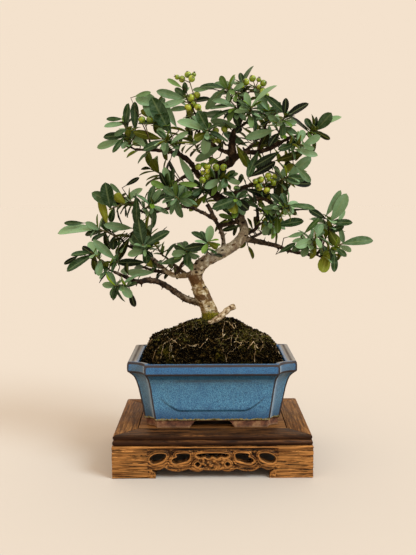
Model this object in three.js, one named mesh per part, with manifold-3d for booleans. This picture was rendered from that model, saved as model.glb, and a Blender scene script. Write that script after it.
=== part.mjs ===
// A firethorn bonsai in a glazed pot with cut-in corners, on a carved wooden stand.
// Millimetres, +Z up, +X to the viewer's right, the viewer on the -Y side.
// The origin is the middle of the stand's underside, on the ground.
import * as THREE from "three";
import { mergeVertices } from "three/addons/utils/BufferGeometryUtils.js";
import Module from "manifold-3d";

const wasm = await Module();
wasm.setup();

// Stand
const STAND_LENGTH = 201;
const STAND_DEPTH = 136;
const APRON_HEIGHT = 33;
const APRON_THICKNESS = 9;
const APRON_OVERHANG = 0.5;
const STAND_HEIGHT = 44;
const RAIL_WIDTH = 23.5;
const JOINT_GAP = 0.3;
const TONGUE_LENGTH = 3.6;
const TONGUE_BOTTOM = 37.9;
const TONGUE_TOP = 40.7;
const PANEL_BOTTOM = 35;
const FOOT_FRONT = 43.8;
const FOOT_SIDE = 30;

// Rail section, from the bottom outer corner: distance in from the stand's face, height
const RAIL_SECTION = [
  [2.2, 33], [23.5, 33], [23.5, 37.6], [19.5, 37.6], [19.5, 41], [23.5, 41], [23.5, 44],
  [2.6, 44], [0.9, 42.6], [0.9, 40], [1.8, 38.8], [0.5, 37.8], [0, 36], [0.5, 34.2],
];

// Half of the scalloped lower edge, from the foot to the middle, as a share of the span and a height:
// the control point and the end of each lobe
const SCALLOPS = [
  [0.99, 5.4, 1.03, 6.9],
  [1.1, 8.6, 1.06, 9.4],
  [0.99, 7.6, 0.92, 9],
  [0.87, 10.2, 0.845, 11.2],
  [0.66, 3.4, 0.425, 9.7],
  [0.26, 4, 0.165, 8.4],
  [0.08, 7.8, 0, 8.2],
];

// Openings pierced through the apron: a round, a bean, a hooked bean and the middle slot, as closed
// curves through a few points, [x, z] from the opening's own middle
const ROUND_HOLE = [[2.6, 0], [0, 2.3], [-2.6, 0], [0, -2.3]];
const BEAN_HOLE = [
  [-8.4, 3.2], [-5.8, 5.1], [1.6, 4.9], [6.8, 2], [8.2, -1], [5.8, -4.2], [1.4, -4.6], [-5.4, -1.8],
];
const HOOKED_HOLE = [
  [3.8, 4.6], [-7.8, 5.2], [-9.2, 1.6], [-7, -2], [-0.2, -4.1], [5.6, -5], [9, -2.4], [6.6, 0.3], [3.4, 1.4],
];
const SLOT_HOLE = [
  [-16.5, 1.2], [-8, 2.9], [8, 2.9], [16.5, 1.2], [12.4, -1.6], [8.2, -0.4], [4.4, -2.5], [0, -0.8],
  [-4.4, -2.5], [-8.2, -0.4], [-12.4, -1.6],
];
const HOLE_STEPS_ROUND = 6;
const HOLE_STEPS_LONG = 12;
const HOLE_STEPS_SLOT = 16;
const SCALLOP_STEPS = 2;
const FRONT_HOLES = [
  [SLOT_HOLE, 0, 22.8, HOLE_STEPS_SLOT], [ROUND_HOLE, 15, 14.4, HOLE_STEPS_ROUND],
  [HOOKED_HOLE, 32, 20.4, HOLE_STEPS_LONG], [BEAN_HOLE, 55, 20.4, HOLE_STEPS_LONG],
];
const SIDE_HOLES = [
  [SLOT_HOLE, 0, 22.8, HOLE_STEPS_SLOT], [ROUND_HOLE, 15, 14.4, HOLE_STEPS_ROUND],
  [BEAN_HOLE, 31, 20.4, HOLE_STEPS_LONG],
];

// Pot: height, half length, half depth and the two radii of the cut-in corner
const POT_BODY = [
  [51, 69.2, 42.5, 11.4, 10.5],
  [53, 70.6, 44, 11.4, 10.5],
  [64, 72.4, 45, 11.8, 11],
  [75, 74.5, 46.3, 12.4, 11.5],
  [85, 76.4, 48, 13.2, 12],
  [92, 78.3, 49.8, 14, 12.5],
  [97, 80.3, 52, 15, 13.2],
  [100, 82.8, 54.8, 16.4, 14.3],
  [103, 87, 59.3, 19, 16],
  [112.5, 87, 59.3, 19, 16],
  [114, 85.8, 58.1, 18.5, 15.5],
];
const POT_HOLLOW = [
  [60, 64.5, 37.5, 10, 9],
  [80, 68, 40, 10.5, 9.5],
  [98, 73, 46, 12, 10],
  [106, 74.5, 50.5, 12, 10],
  [115, 75, 51.5, 12, 10],
];
const CORNER_STEPS = 3;
const POT_FOOT_OUTSIDE = [68.6, 42.2, 11.4, 10.5];
const POT_FOOT_INSIDE = [60.9, 34.5, 8, 7];
const POT_FOOT_TOP = 52;
const FOOT_SPAN_LONG = 48.5;
const FOOT_SPAN_SHORT = 34;
const FOOT_SPAN_SLOPE = 8;
const POT_FLOOR = 60;
const DRAIN_X = 30;
const DRAIN_RADIUS = 7;
const DRAIN_SIDES = 16;
const CUT_MARGIN = 1;
const MESH_BARS = 3;
const MESH_PITCH = 8;
const MESH_BAR_WIDTH = 2;
const MESH_THICKNESS = 1;

// Soil: share of the pot's mouth and height of each level of the mound
const SOIL_GAP = 0.4;
const SOIL_WALL_TOP = 107;
const SOIL_MOUND = [
  [0.98, 111], [0.95, 119], [0.91, 126], [0.84, 131.5], [0.75, 136], [0.62, 140], [0.46, 144.8],
  [0.32, 149], [0.14, 150.5],
];
const SOIL_ROUGHNESS = 1.6;
const SOIL_SWELL = 0.012;
const SOIL_SEED = 4021;
const TRUNK_HOLE_RADIUS = 11.3;
const TRUNK_HOLE_BOTTOM = 121;
const TRUNK_HOLE_TOP = 160;
const TRUNK_HOLE_SIDES = 14;

// Trunk and branches: centre lines with their radius, [x, y, z, radius]
const LIMBS = {
  trunk: [
    [-1, 0, 122, 9], [-1, 0, 140, 10.4], [-1, 0, 153, 9.6], [-5, -1, 166, 8], [-11, -2, 179, 8.5],
    [-15, -4, 189, 6.9], [-17, -5, 197, 7.3], [-13, -6, 207, 7.1], [-5, -7, 214, 6.5], [7, -7, 220, 6.1],
    [20, -6, 227, 5.9], [30, -4, 235, 5.9], [35, -1, 245, 5.2], [32, 3, 255, 4.9], [27, 6, 266, 4.6],
    [16, 8, 275, 4.4], [2, 8, 286, 5], [3, 6, 301, 4.4], [11, 4, 311, 4.2], [22, 2, 319, 5],
    [22, 0, 335, 4], [24, -2, 347, 3.1], [30, -3, 357, 2.5], [35, -4, 370, 2], [36, -4, 382, 1.6],
  ],
  deadwood: [
    [-2, -6, 152, 3.2], [5, -12, 155, 2.6], [13, -13, 158, 2.9], [19, -12, 161, 3], [26, -12, 165, 2.9],
  ],
  second_stem: [
    [13, -7, 226, 2.6], [12, -10, 240, 2.4], [7, -12, 252, 2.3], [3, -12, 258, 2.3], [1, -11, 264, 2.2],
    [-4, -9, 273, 2.4],
  ],
  stem_bridge: [[32, 3, 255, 2.4], [20, -5, 253, 2.4], [8, -12, 250, 2.2]],
  left_low: [
    [-9, -2, 168, 4.6], [-25, -5, 172, 3.8], [-37, -8, 180, 3.4], [-45, -12, 186, 3.2], [-56, -18, 193, 3.1],
    [-67, -21, 195, 3.3], [-77, -24, 194, 2.5], [-89, -24, 199, 2], [-101, -22, 204, 1.6],
  ],
  left_low_fork: [[-77, -24, 194, 2.2], [-84, -28, 192, 1.7]],
  left_mid: [
    [-16, -5, 200, 3.8], [-34, 2, 197, 2.9], [-46, 6, 200, 2.6], [-57, 1, 211, 2.1], [-65, -5, 219, 1.9],
  ],
  left_mid_fork: [[-46, 6, 200, 2.2], [-62, 10, 202, 1.9], [-74, 10, 206, 1.5]],
  left_stub: [[-61, -2, 215, 2], [-76, -1, 224, 1.9], [-92, 0, 231, 1.7]],
  left_short: [[-38, 3, 198, 2.3], [-33, 1, 207, 2], [-28, -1, 214, 1.8]],
  left_long: [
    [3, -12, 258, 2.2], [-10, -13, 265, 1.9], [-22, -12, 270, 1.8], [-34, -10, 271, 1.8], [-49, -8, 268, 1.7],
    [-66, -5, 264, 1.7], [-77, -4, 268, 1.5],
  ],
  left_high: [
    [2, 8, 292, 3.4], [-11, 4, 301, 3], [-21, -2, 316, 2.8], [-30, -6, 323, 2.5], [-40, -8, 327, 2.2],
    [-56, -8, 329, 1.8], [-78, -7, 330, 1.5],
  ],
  left_high_fork: [[-17, 0, 310, 2.1], [-26, -6, 303, 1.9], [-37, -12, 296, 1.6]],
  right_low: [
    [32, -3, 237, 3.6], [43, -4, 235, 3.2], [57, -8, 232, 2.7], [70, -13, 229, 2.3], [80, -17, 225, 2.1],
    [95, -20, 222, 1.9], [109, -19, 221, 1.8], [116, -16, 231, 1.5],
  ],
  right_riser: [
    [35, -1, 242, 2.4], [45, 2, 245, 2], [50, 6, 251, 1.9], [50, 10, 262, 1.7], [49, 12, 272, 1.5],
  ],
  right_mid: [
    [27, 6, 266, 2.7], [39, 0, 274, 2.4], [50, -6, 279, 2.2], [60, -10, 276, 2], [68, -12, 268, 1.7],
  ],
  right_mid_fork: [[16, 8, 275, 2.6], [29, 2, 288, 2.2], [40, -6, 292, 1.9], [56, -10, 291, 1.6]],
  right_high: [
    [22, 2, 319, 3.2], [34, -3, 326, 2.8], [49, -8, 327, 2.5], [63, -12, 331, 2.2], [80, -14, 340, 1.8],
    [92, -12, 343, 1.5],
  ],
  right_high_up: [[49, -8, 327, 1.8], [54, -4, 344, 1.5], [58, 0, 356, 1.3]],
  right_high_rise: [[63, -12, 331, 1.7], [68, -13, 338, 1.4]],
  crown_right: [[24, -2, 347, 1.8], [33, -8, 354, 1.5], [37, -11, 357, 1.3]],
  crown_left: [[22, 1, 327, 2.4], [12, 0, 329, 2.2], [-2, -3, 338, 1.9], [-12, -5, 346, 1.5]],
  knot_left: [[22, 2, 319, 2.6], [13, -2, 318, 1.9], [6, -5, 315, 1.6]],
  back_low_left: [[-14, -4, 189, 3.2], [-24, 10, 195, 2.4], [-40, 24, 206, 1.9], [-50, 34, 214, 1.4]],
  back_low_right: [[20, -6, 229, 3.2], [31, 10, 231, 2.4], [44, 24, 236, 1.9], [58, 34, 242, 1.4]],
  back_mid: [[32, 3, 255, 2.9], [29, 18, 256, 2.1], [18, 32, 264, 1.6]],
  back_mid_right: [[27, 6, 266, 2.8], [43, 18, 276, 2.2], [60, 28, 288, 1.6]],
  back_mid_left: [[2, 8, 286, 3], [-14, 22, 288, 2.2], [-36, 32, 294, 1.6]],
  back_high: [[11, 4, 311, 2.8], [6, 20, 318, 2.1], [-8, 32, 328, 1.6]],
  back_high_right: [[22, 2, 319, 2.8], [38, 18, 330, 2.1], [50, 28, 342, 1.6]],
};
const TRUNK_SIDES = 8;
const BRANCH_SIDES = 5;
const THIN_BRANCH_SIDES = 4;
const THIN_BRANCH_RADIUS = 2.7;
const TRUNK_STEP = 10;
const BRANCH_STEP = 15;
const TWIG_STEP = 30;
const STALK_STEP = 24;
const SHOOT_STEP = 60;
const LEAST_TURN = 0.3;
const CURVE_TENSION = 0.5;

// Leafy shoots. Each grows at the end of a bark twig, which leaves a limb at one of its points (counted
// from 0), and runs from base to tip. A listed leaf is [heading, lean, length, width seen], from the base
// up: heading in degrees in the front plane, lean in degrees towards the viewer, and a width below zero
// shows the underside. Some more leaves point away from the viewer behind these, or stand round the shoot.
const SHOOTS = [
  { name: "spray_right_tip_high", limb: "right_low", point: 7, base: [120, -15, 241], tip: [125, -17, 256],
    leaves: [[20, 25, 18, 7], [-64, 30, 22, -12], [188, 25, 19, 11], [155, -10, 21, 5], [5, 20, 23, 7],
      [63, 12, 32, 13]], behind: 3 },
  { name: "spray_right_tip_low", limb: "right_low", point: 6, base: [116, -30, 222], tip: [133, -36, 233],
    leaves: [[248, 20, 25, -13], [-95, -25, 17, 7], [-40, 15, 15, 6], [-20, -15, 18, 6], [11, 8, 32, 9]],
    behind: 3 },
  { name: "spray_right_fork", limb: "right_low", point: 5, base: [95, -40, 231], tip: [105, -47, 240],
    leaves: [[243, 15, 15, 8], [203, 20, 21, 7], [180, -12, 20, 5], [200, 25, 22, 9], [60, -20, 17, 6]],
    behind: 3 },
  { name: "spray_right_bend", limb: "right_mid_fork", point: 3, base: [68, -14, 294], tip: [79, -22, 301],
    leaves: [[188, 20, 21, 6], [65, -20, 16, 7], [-110, 25, 19, -14], [-17, 10, 17, 6], [-5, 25, 20, 9],
      [40, 8, 31, 11]], behind: 3 },
  { name: "spray_right_under_crown", limb: "right_high", point: 4, base: [82, -25, 333], tip: [93, -31, 331],
    leaves: [[197, 15, 18, 7], [64, -15, 18, 8], [-16, 25, 15, 5], [29, 10, 20, 8]], behind: 3 },
  { name: "spray_right_mid", limb: "right_mid", point: 4, base: [72, -32, 269], tip: [79, -38, 272],
    leaves: [[185, -15, 21, 5], [139, 12, 19, 7], [108, -20, 15, 7], [-51, 20, 14, -5], [-5, 15, 26, 6]],
    behind: 3 },
  { name: "spray_right_riser", limb: "right_riser", point: 2, base: [60, 3, 253], tip: [70, -2, 250],
    leaves: [[236, 15, 15, 9], [120, -15, 15, 8], [11, 15, 29, 9]], behind: 3 },
  { name: "spray_centre", limb: "trunk", point: 14, base: [26, -14, 273], tip: [26, -24, 279],
    leaves: [[219, -5, 15, 8], [-57, 15, 16, 8], [248, 25, 16, -11], [225, 15, 15, 7], [-42, 25, 17, 10],
      [201, 22, 27, 10]], behind: 2 },
  { name: "spray_centre_high", limb: "trunk", point: 17, base: [8, -4, 299], tip: [16, -9, 299],
    leaves: [[209, 15, 20, 8], [23, -10, 17, 5], [-17, 20, 16, 6]], behind: 3 },
  { name: "spray_centre_left", limb: "trunk", point: 16, base: [-5, 2, 288], tip: [-10, -1, 290],
    leaves: [[212, -15, 18, 7], [211, 15, 25, 7], [216, 30, 16, 7]], behind: 3 },
  { name: "spray_trunk", limb: "trunk", point: 8, base: [-4, -20, 229], tip: [-3, -27, 235],
    leaves: [[187, 15, 24, 8], [81, 20, 19, 9], [-30, 30, 14, -7]], behind: 2 },
  { name: "spray_left_top_far", limb: "left_high", point: 6, base: [-84, -8, 336], tip: [-89, -12, 357],
    leaves: [[236, 15, 13, 6], [181, 12, 25, 8], [90, -15, 27, 6], [208, 20, 14, 6], [82, 18, 24, 7],
      [184, 10, 21, 6]], behind: 4 },
  { name: "spray_left_top_high", limb: "left_high", point: 4, base: [-46, -11, 338], tip: [-60, -14, 377],
    leaves: [[115, 8, 43, 17], [163, 20, 23, 5], [160, 10, 19, -8], [60, -25, 20, 7], [160, 15, 19, 9]],
    behind: 4 },
  { name: "spray_left_peak", limb: "crown_left", point: 3, base: [-15, -7, 352], tip: [-27, -10, 388],
    leaves: [[21, 15, 32, 6], [0, -15, 24, 6], [181, 12, 21, 6], [16, 12, 23, 6], [137, -12, 18, 7],
      [90, 20, 14, 6]], behind: 4 },
  { name: "spray_left_inner", limb: "crown_left", point: 2, base: [-5, -24, 343], tip: [-3, -32, 348],
    leaves: [[210, 25, 17, -8], [157, 10, 31, 9], [119, 20, 21, 11]], behind: 3 },
  { name: "spray_left_mid_high", limb: "left_high", point: 3, base: [-38, -26, 332], tip: [-49, -33, 339],
    leaves: [[36, 15, 21, 6], [255, 10, 14, 6], [204, 15, 25, 8], [275, -10, 13, 5]], behind: 3 },
  { name: "spray_shoulder_far", limb: "left_long", point: 6, base: [-85, -4, 274], tip: [-107, -8, 268],
    leaves: [[134, 25, 17, -10], [42, -10, 28, 7], [153, 15, 30, 12], [250, -20, 19, 7], [99, 10, 28, 14]],
    behind: 4 },
  { name: "spray_shoulder_near", limb: "left_long", point: 5, base: [-66, -24, 270], tip: [-59, -32, 274],
    leaves: [[75, 15, 22, 7], [57, -15, 19, 5], [57, 20, 19, 6], [40, -5, 17, 5]], behind: 3 },
  { name: "spray_left_far_high", limb: "left_stub", point: 2, base: [-98, -3, 238], tip: [-122, -6, 248],
    leaves: [[265, 20, 15, 9], [41, -15, 15, 6], [206, 20, 19, 5], [189, -10, 22, 6], [150, 25, 18, 7],
      [177, 8, 41, 9]], behind: 4 },
  { name: "spray_left_far_low", limb: "left_low", point: 8, base: [-108, -32, 211], tip: [-122, -39, 226],
    leaves: [[229, -20, 17, 5], [262, 20, 16, 8], [273, -10, 20, 6], [150, -20, 20, 7], [207, 12, 32, 8],
      [183, 15, 21, 5]], behind: 3 },
  { name: "spray_left_mid", limb: "left_mid", point: 4, base: [-68, -20, 226], tip: [-70, -29, 232],
    leaves: [[200, 20, 19, 8], [133, -15, 20, 10], [33, 12, 31, 9], [100, 10, 28, 14]], behind: 3 },
  { name: "spray_left_low", limb: "left_low_fork", point: 1, base: [-90, -38, 191], tip: [-98, -45, 192],
    leaves: [[-46, 15, 16, 9], [239, -15, 19, 5], [173, 20, 15, 7], [120, -10, 17, 7]], behind: 3 },
  { name: "spray_trunk_left", limb: "left_short", point: 2, base: [-26, -4, 220], tip: [-26, -9, 225],
    leaves: [[-28, 20, 14, 5], [190, 15, 16, 8], [162, -10, 15, 6]], behind: 3 },
  { name: "spray_long_left", limb: "left_long", point: 3, base: [-32, -28, 277], tip: [-36, -36, 281],
    leaves: [[-23, 20, 16, 8], [243, 15, 18, 5], [150, -15, 18, 7]], behind: 3 },
  { name: "spray_left_dark", limb: "left_high_fork", point: 2, base: [-42, -20, 291], tip: [-47, -27, 288],
    leaves: [[100, 10, 21, 8], [-40, 20, 15, 9], [195, -10, 17, 6]], behind: 3 },
  { name: "spray_top", limb: "trunk", point: 24, base: [34, -6, 389], tip: [33, -9, 395],
    leaves: [[35, 20, 17, 7], [100, -20, 17, 6], [45, 8, 27, 5]], behind: 3 },
  { name: "spray_top_left", limb: "trunk", point: 23, base: [28, -14, 384], tip: [15, -22, 389],
    leaves: [[177, -15, 25, 6], [30, 20, 14, 5], [73, -10, 16, 5], [168, 12, 27, 6]], behind: 3 },
  { name: "spray_crown_right", limb: "right_high_up", point: 2, base: [61, -1, 363], tip: [60, -5, 369],
    leaves: [[134, -10, 18, 7], [40, 20, 16, 6], [119, 15, 29, 10]], behind: 3 },
  { name: "spray_crown_mid", limb: "crown_right", point: 2, base: [39, -26, 364], tip: [40, -33, 369],
    leaves: [[180, 15, 16, 5], [108, 15, 17, 7], [48, 10, 33, 5]], behind: 3 },
  { name: "spray_crown_far", limb: "right_high_rise", point: 1, base: [70, -22, 348], tip: [74, -31, 361],
    leaves: [[143, 12, 16, 7], [0, -10, 16, 6], [36, 12, 29, 7], [86, 15, 18, 7]], behind: 4 },
  { name: "spray_far_right_top", limb: "right_high", point: 5, base: [99, -13, 345], tip: [109, -15, 348],
    leaves: [[137, 15, 27, 5], [-15, -10, 16, 6], [118, -15, 16, 7], [36, 8, 30, 6], [51, 20, 24, 12]],
    behind: 4 },
  { name: "spray_top_inner", limb: "trunk", point: 22, base: [27, -16, 367], tip: [24, -25, 372],
    leaves: [[199, 15, 29, 5], [177, -5, 25, 5]], behind: 3 },
  { name: "spray_back_low_left", limb: "back_low_left", point: 3, base: [-57, 39, 220], tip: [-74, 43, 242],
    leaves: [], round: 8 },
  { name: "spray_back_low_right", limb: "back_low_right", point: 3, base: [65, 37, 248], tip: [84, 40, 266],
    leaves: [], round: 8 },
  { name: "spray_back_mid", limb: "back_mid", point: 2, base: [12, 38, 270], tip: [-2, 44, 290],
    leaves: [], round: 8 },
  { name: "spray_back_mid_right", limb: "back_mid_right", point: 2, base: [68, 31, 294], tip: [86, 35, 311],
    leaves: [], round: 8 },
  { name: "spray_back_mid_left", limb: "back_mid_left", point: 2, base: [-45, 35, 298], tip: [-66, 38, 312],
    leaves: [], round: 8 },
  { name: "spray_back_high", limb: "back_high", point: 2, base: [-15, 36, 334], tip: [-28, 38, 356],
    leaves: [], round: 8 },
  { name: "spray_back_high_right", limb: "back_high_right", point: 2, base: [56, 32, 349], tip: [66, 32, 371],
    leaves: [], round: 8 },
];
const TWIG_RADIUS = 1.3;
const SHOOT_BASE_RADIUS = 1.4;
const SHOOT_TIP_RADIUS = 1.1;
const SHOOT_RISE = 0.06;
const TWIG_SIDES = 3;
const SHOOT_SIDES = 3;
const TWIG_LEAD = 5;
const TWIG_LEAD_SHARE = 0.4;

// Leaf form
const LEAF_THICKNESS = 1.2;
const PETIOLE_HALF_WIDTH = 0.35;
const PETIOLE_THICKNESS = 0.5;
const LEAF_STATIONS = [0, 0.44, 0.78];
const LEAF_TAPER_BASE = 1;
const LEAF_TAPER_TIP = 0.6;
const LEAF_FOLD = 0.28;
const LEAST_WIDTH_RATIO = 0.34;
const LEAST_BEND = 0.06;
const BEND_SPREAD = 0.15;
const FACING_AXIS = 0.7;
const FACING_UP = 0.45;

// Where the leaves stand along a shoot, as shares of it, and how the leaves that it adds itself are drawn
const LISTED_START = 0.04;
const LISTED_SPAN = 0.88;
const ADDED_START = 0.08;
const ADDED_SPAN = 0.84;
const ADDED_OFFSET = 0.6;
const ADDED_LENGTH = 18;
const ADDED_LENGTH_SPREAD = 10;
const ADDED_WIDTH_RATIO = 0.32;
const ADDED_WIDTH_SPREAD = 0.08;
const ADDED_OPENING = 70;
const ADDED_OPENING_FALL = 30;
const ADDED_OPENING_SPREAD = 14;
const ADDED_TURN_SPREAD = 30;
const BEHIND_LEAN = -15;
const BEHIND_LEAN_SPREAD = -45;
const SHOOT_SEED = 7919;
const FIRST_SHOOT = 3;
const DEGREE = Math.PI / 180;
const GOLDEN_ANGLE = 137.5;

// Room that a leaf keeps to its neighbours, and the turns that it tries, [heading, lean], to find it
const LEAF_CLEARANCE = 3.2;
const OWN_CLEARANCE = 1.5;
const WOOD_CLEARANCE = 2;
const SHOOT_CLEARANCE = 2.2;
const STALK_SHARE = 0.25;
const STALK_EASE = 1.1;
const OWN_STALK_SHARE = 0.45;
const TAKEN_STEP = 3;
const SAMPLE_SHARES = [0.16, 0.3, 0.45, 0.6, 0.75, 0.9, 1];
const SAMPLE_SIDES = [-0.8, 0, 0.8];
const LEAF_TURNS = [
  [0, 0], [0, 14], [0, -14], [9, 0], [-9, 0], [9, 14], [-9, 14], [9, -14], [-9, -14], [0, 28], [0, -28],
  [18, 10], [-18, 10], [18, -14], [-18, -14], [26, 24], [-26, 24], [26, -30], [-26, -30],
];
const FRONT_LIMIT = 66;

// Berry bunches: a spur from a limb's point, the stalk from its end and the middle of each berry
const BERRY_RADIUS = 3.9;
const STALK_RADIUS = 0.8;
const STALK_SIDES = 3;
const BUNCHES = [
  { name: "berries_peak", limb: "crown_left", point: 3,
    stalk: [[-12, -13, 356], [-15, -18, 376], [-21, -18, 396]],
    berries: [[-23, -16, 404], [-29, -14, 400], [-19, -22, 399], [-14, -15, 384], [-20, -23, 380],
      [-23, -19, 371], [-13, -21, 371]] },
  { name: "berries_inner", limb: "trunk", point: 20, stalk: [[14, -6, 337], [11, -12, 342]],
    berries: [[5, -15, 348], [14, -12, 350], [8, -16, 338]] },
  { name: "berries_trunk", limb: "knot_left", point: 2, stalk: [[8, -9, 312], [9, -12, 312]],
    berries: [[5, -15, 311], [13, -14, 311]] },
  { name: "berries_left", limb: "left_high", point: 1, stalk: [[-12, -4, 302], [-9, -8, 304]],
    berries: [[-13, -9, 312], [-4, -10, 312], [-4, -9, 302], [-9, -13, 298]] },
  { name: "berries_right", limb: "right_mid_fork", point: 2, stalk: [[46, -13, 294], [55, -19, 293]],
    berries: [[64, -21, 295], [57, -23, 287], [51, -20, 298], [49, -24, 290], [59, -17, 302]] },
  { name: "berries_top", limb: "trunk", point: 24, stalk: [[40, -8, 388], [46, -10, 392]],
    berries: [[36, -13, 397], [43, -9, 401], [54, -11, 396], [53, -14, 387]] },
  { name: "berries_far_left", limb: "left_high", point: 5, stalk: [[-63, -16, 340], [-66, -20, 352]],
    berries: [[-70, -20, 359], [-62, -21, 359]] },
];

// Finishes
const BARK = finish(0x6b5a48, 0.85);
const LEAF_GREEN = finish(0x55664a, 0.5);
const BERRY_GREEN = finish(0x7d9a4c, 0.4);
const EARTH = finish(0x2e241b, 0.95);
const GLAZE = finish(0x46779f, 0.25);
const PLASTIC = finish(0x26282a, 0.6);
const DARK_WOOD = finish(0x4a3220, 0.45);
const BROWN_WOOD = finish(0x8a6240, 0.5);

// Seeded draws
const DRAW_FACTOR = 48271;
const DRAW_MODULUS = 2147483647;

const bonsai = new THREE.Group();

function finish(color, roughness) {
  return new THREE.MeshStandardMaterial({ color, roughness, metalness: 0 });
}

function addPiece(name, solid, material, parent = bonsai) {
  const mesh = solid.getMesh();
  const geometry = new THREE.BufferGeometry();
  geometry.setAttribute("position", new THREE.BufferAttribute(mesh.vertProperties, 3));
  geometry.setIndex(new THREE.BufferAttribute(mesh.triVerts, 1));
  geometry.computeVertexNormals();
  const piece = new THREE.Mesh(geometry, material.clone());
  piece.name = name;
  parent.add(piece);
  return piece;
}

function solidOf(positions, triangles) {
  return new wasm.Manifold(new wasm.Mesh({
    numProp: 3,
    vertProperties: new Float32Array(positions),
    triVerts: new Uint32Array(triangles),
  }));
}

function solidOfGeometry(geometry) {
  geometry.deleteAttribute("normal");
  geometry.deleteAttribute("uv");
  const merged = mergeVertices(geometry);
  return solidOf(merged.attributes.position.array, merged.index.array);
}

// Side faces between rings of equal count, with flat caps, or a point at the far end
function loft(rings, caps, apex = null) {
  const count = rings[0].length;
  const positions = rings.flat().flatMap((point) => [point.x, point.y, point.z]);
  const triangles = [];
  for (let ring = 0; ring + 1 < rings.length; ring += 1) {
    for (let i = 0; i < count; i += 1) {
      const a = ring * count + i;
      const b = ring * count + ((i + 1) % count);
      triangles.push(a, b, b + count, a, b + count, a + count);
    }
  }
  const last = (rings.length - 1) * count;
  for (const [a, b, c] of caps) {
    triangles.push(c, b, a);
  }
  if (apex) {
    positions.push(apex.x, apex.y, apex.z);
    for (let i = 0; i < count; i += 1) {
      triangles.push(last + i, last + ((i + 1) % count), last + count);
    }
  } else {
    for (const [a, b, c] of caps) {
      triangles.push(last + a, last + b, last + c);
    }
  }
  return solidOf(positions, triangles);
}

function fanCaps(count) {
  return Array.from({ length: count - 2 }, (_, i) => [0, i + 1, i + 2]);
}

function outlineCaps(outline) {
  return THREE.ShapeUtils.triangulateShape(outline, []);
}

function seededDraws(seed) {
  let state = seed;
  return () => {
    state = (state * DRAW_FACTOR) % DRAW_MODULUS;
    return state / DRAW_MODULUS;
  };
}

function box(sizeX, sizeY, bottom, top) {
  const geometry = new THREE.BoxGeometry(sizeX, sizeY, top - bottom);
  geometry.translate(0, 0, (bottom + top) / 2);
  return solidOfGeometry(geometry);
}

function prismAlongY(points, halfLength) {
  const shape = new THREE.Shape(points.map(([x, z]) => new THREE.Vector2(x, z)));
  const geometry = new THREE.ExtrudeGeometry(shape, { depth: 2 * halfLength, bevelEnabled: false });
  geometry.rotateX(Math.PI / 2);
  geometry.translate(0, halfLength, 0);
  return solidOfGeometry(geometry);
}

// Stand

function makeRail(name, length, turn, distance) {
  const half = length / 2 - JOINT_GAP / 2;
  const outline = RAIL_SECTION.map(([inward, height]) => new THREE.Vector2(inward, height));
  const ends = [-1, 1].map((side) => outline.map(
    ({ x: inward, y: height }) => new THREE.Vector3(side * (half - inward), inward - distance, height),
  ));
  const rail = addPiece(name, loft(ends, outlineCaps(outline)), DARK_WOOD);
  rail.rotation.z = turn;
}

function makePanel() {
  const plateX = STAND_LENGTH - 2 * RAIL_WIDTH - 2 * JOINT_GAP;
  const plateY = STAND_DEPTH - 2 * RAIL_WIDTH - 2 * JOINT_GAP;
  const plate = box(plateX, plateY, PANEL_BOTTOM, STAND_HEIGHT);
  const tongue = box(plateX + 2 * TONGUE_LENGTH, plateY + 2 * TONGUE_LENGTH, TONGUE_BOTTOM, TONGUE_TOP);
  addPiece("stand_panel", plate.add(tongue), DARK_WOOD);
}

function apronOutline(half, foot) {
  const span = half - foot;
  const shape = new THREE.Shape();
  shape.moveTo(-half, 0);
  shape.lineTo(-span, 0);
  for (const [controlX, controlZ, endX, endZ] of SCALLOPS) {
    shape.quadraticCurveTo(-controlX * span, controlZ, -endX * span, endZ);
  }
  for (let i = SCALLOPS.length - 1; i >= 0; i -= 1) {
    const [endX, endZ] = i > 0 ? SCALLOPS[i - 1].slice(2) : [1, 0];
    shape.quadraticCurveTo(SCALLOPS[i][0] * span, SCALLOPS[i][1], endX * span, endZ);
  }
  shape.lineTo(half, 0);
  shape.lineTo(half, APRON_HEIGHT);
  shape.lineTo(-half, APRON_HEIGHT);
  return shape;
}

function pierce(shape, [points, x, z, steps]) {
  for (const side of x === 0 ? [1] : [1, -1]) {
    const around = points.map(([px, pz]) => new THREE.Vector3(side * (x + px), z + pz, 0));
    const curve = new THREE.CatmullRomCurve3(around, true, "catmullrom", CURVE_TENSION);
    const ring = curve.getPoints(steps).slice(0, steps);
    shape.holes.push(new THREE.Path(ring.map((point) => new THREE.Vector2(point.x, point.y))));
  }
}

function makeApron(name, length, foot, holes, turn, distance) {
  const half = length / 2 + APRON_OVERHANG;
  const shape = apronOutline(half, foot);
  holes.forEach((hole) => pierce(shape, hole));
  const geometry = new THREE.ExtrudeGeometry(
    shape,
    { depth: APRON_THICKNESS, bevelEnabled: false, curveSegments: SCALLOP_STEPS },
  );
  geometry.rotateX(Math.PI / 2);
  geometry.translate(0, APRON_THICKNESS, 0);
  const board = solidOfGeometry(geometry);
  const mitre = new THREE.Shape([
    new THREE.Vector2(JOINT_GAP / 2 - half, 0), new THREE.Vector2(half - JOINT_GAP / 2, 0),
    new THREE.Vector2(half - APRON_THICKNESS - JOINT_GAP / 2, APRON_THICKNESS),
    new THREE.Vector2(APRON_THICKNESS + JOINT_GAP / 2 - half, APRON_THICKNESS),
  ]);
  const wedge = new THREE.ExtrudeGeometry(mitre, { depth: APRON_HEIGHT, bevelEnabled: false });
  const solid = board.intersect(solidOfGeometry(wedge));
  const apron = addPiece(name, solid.translate([0, -APRON_OVERHANG - distance, 0]), BROWN_WOOD);
  apron.rotation.z = turn;
}

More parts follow.
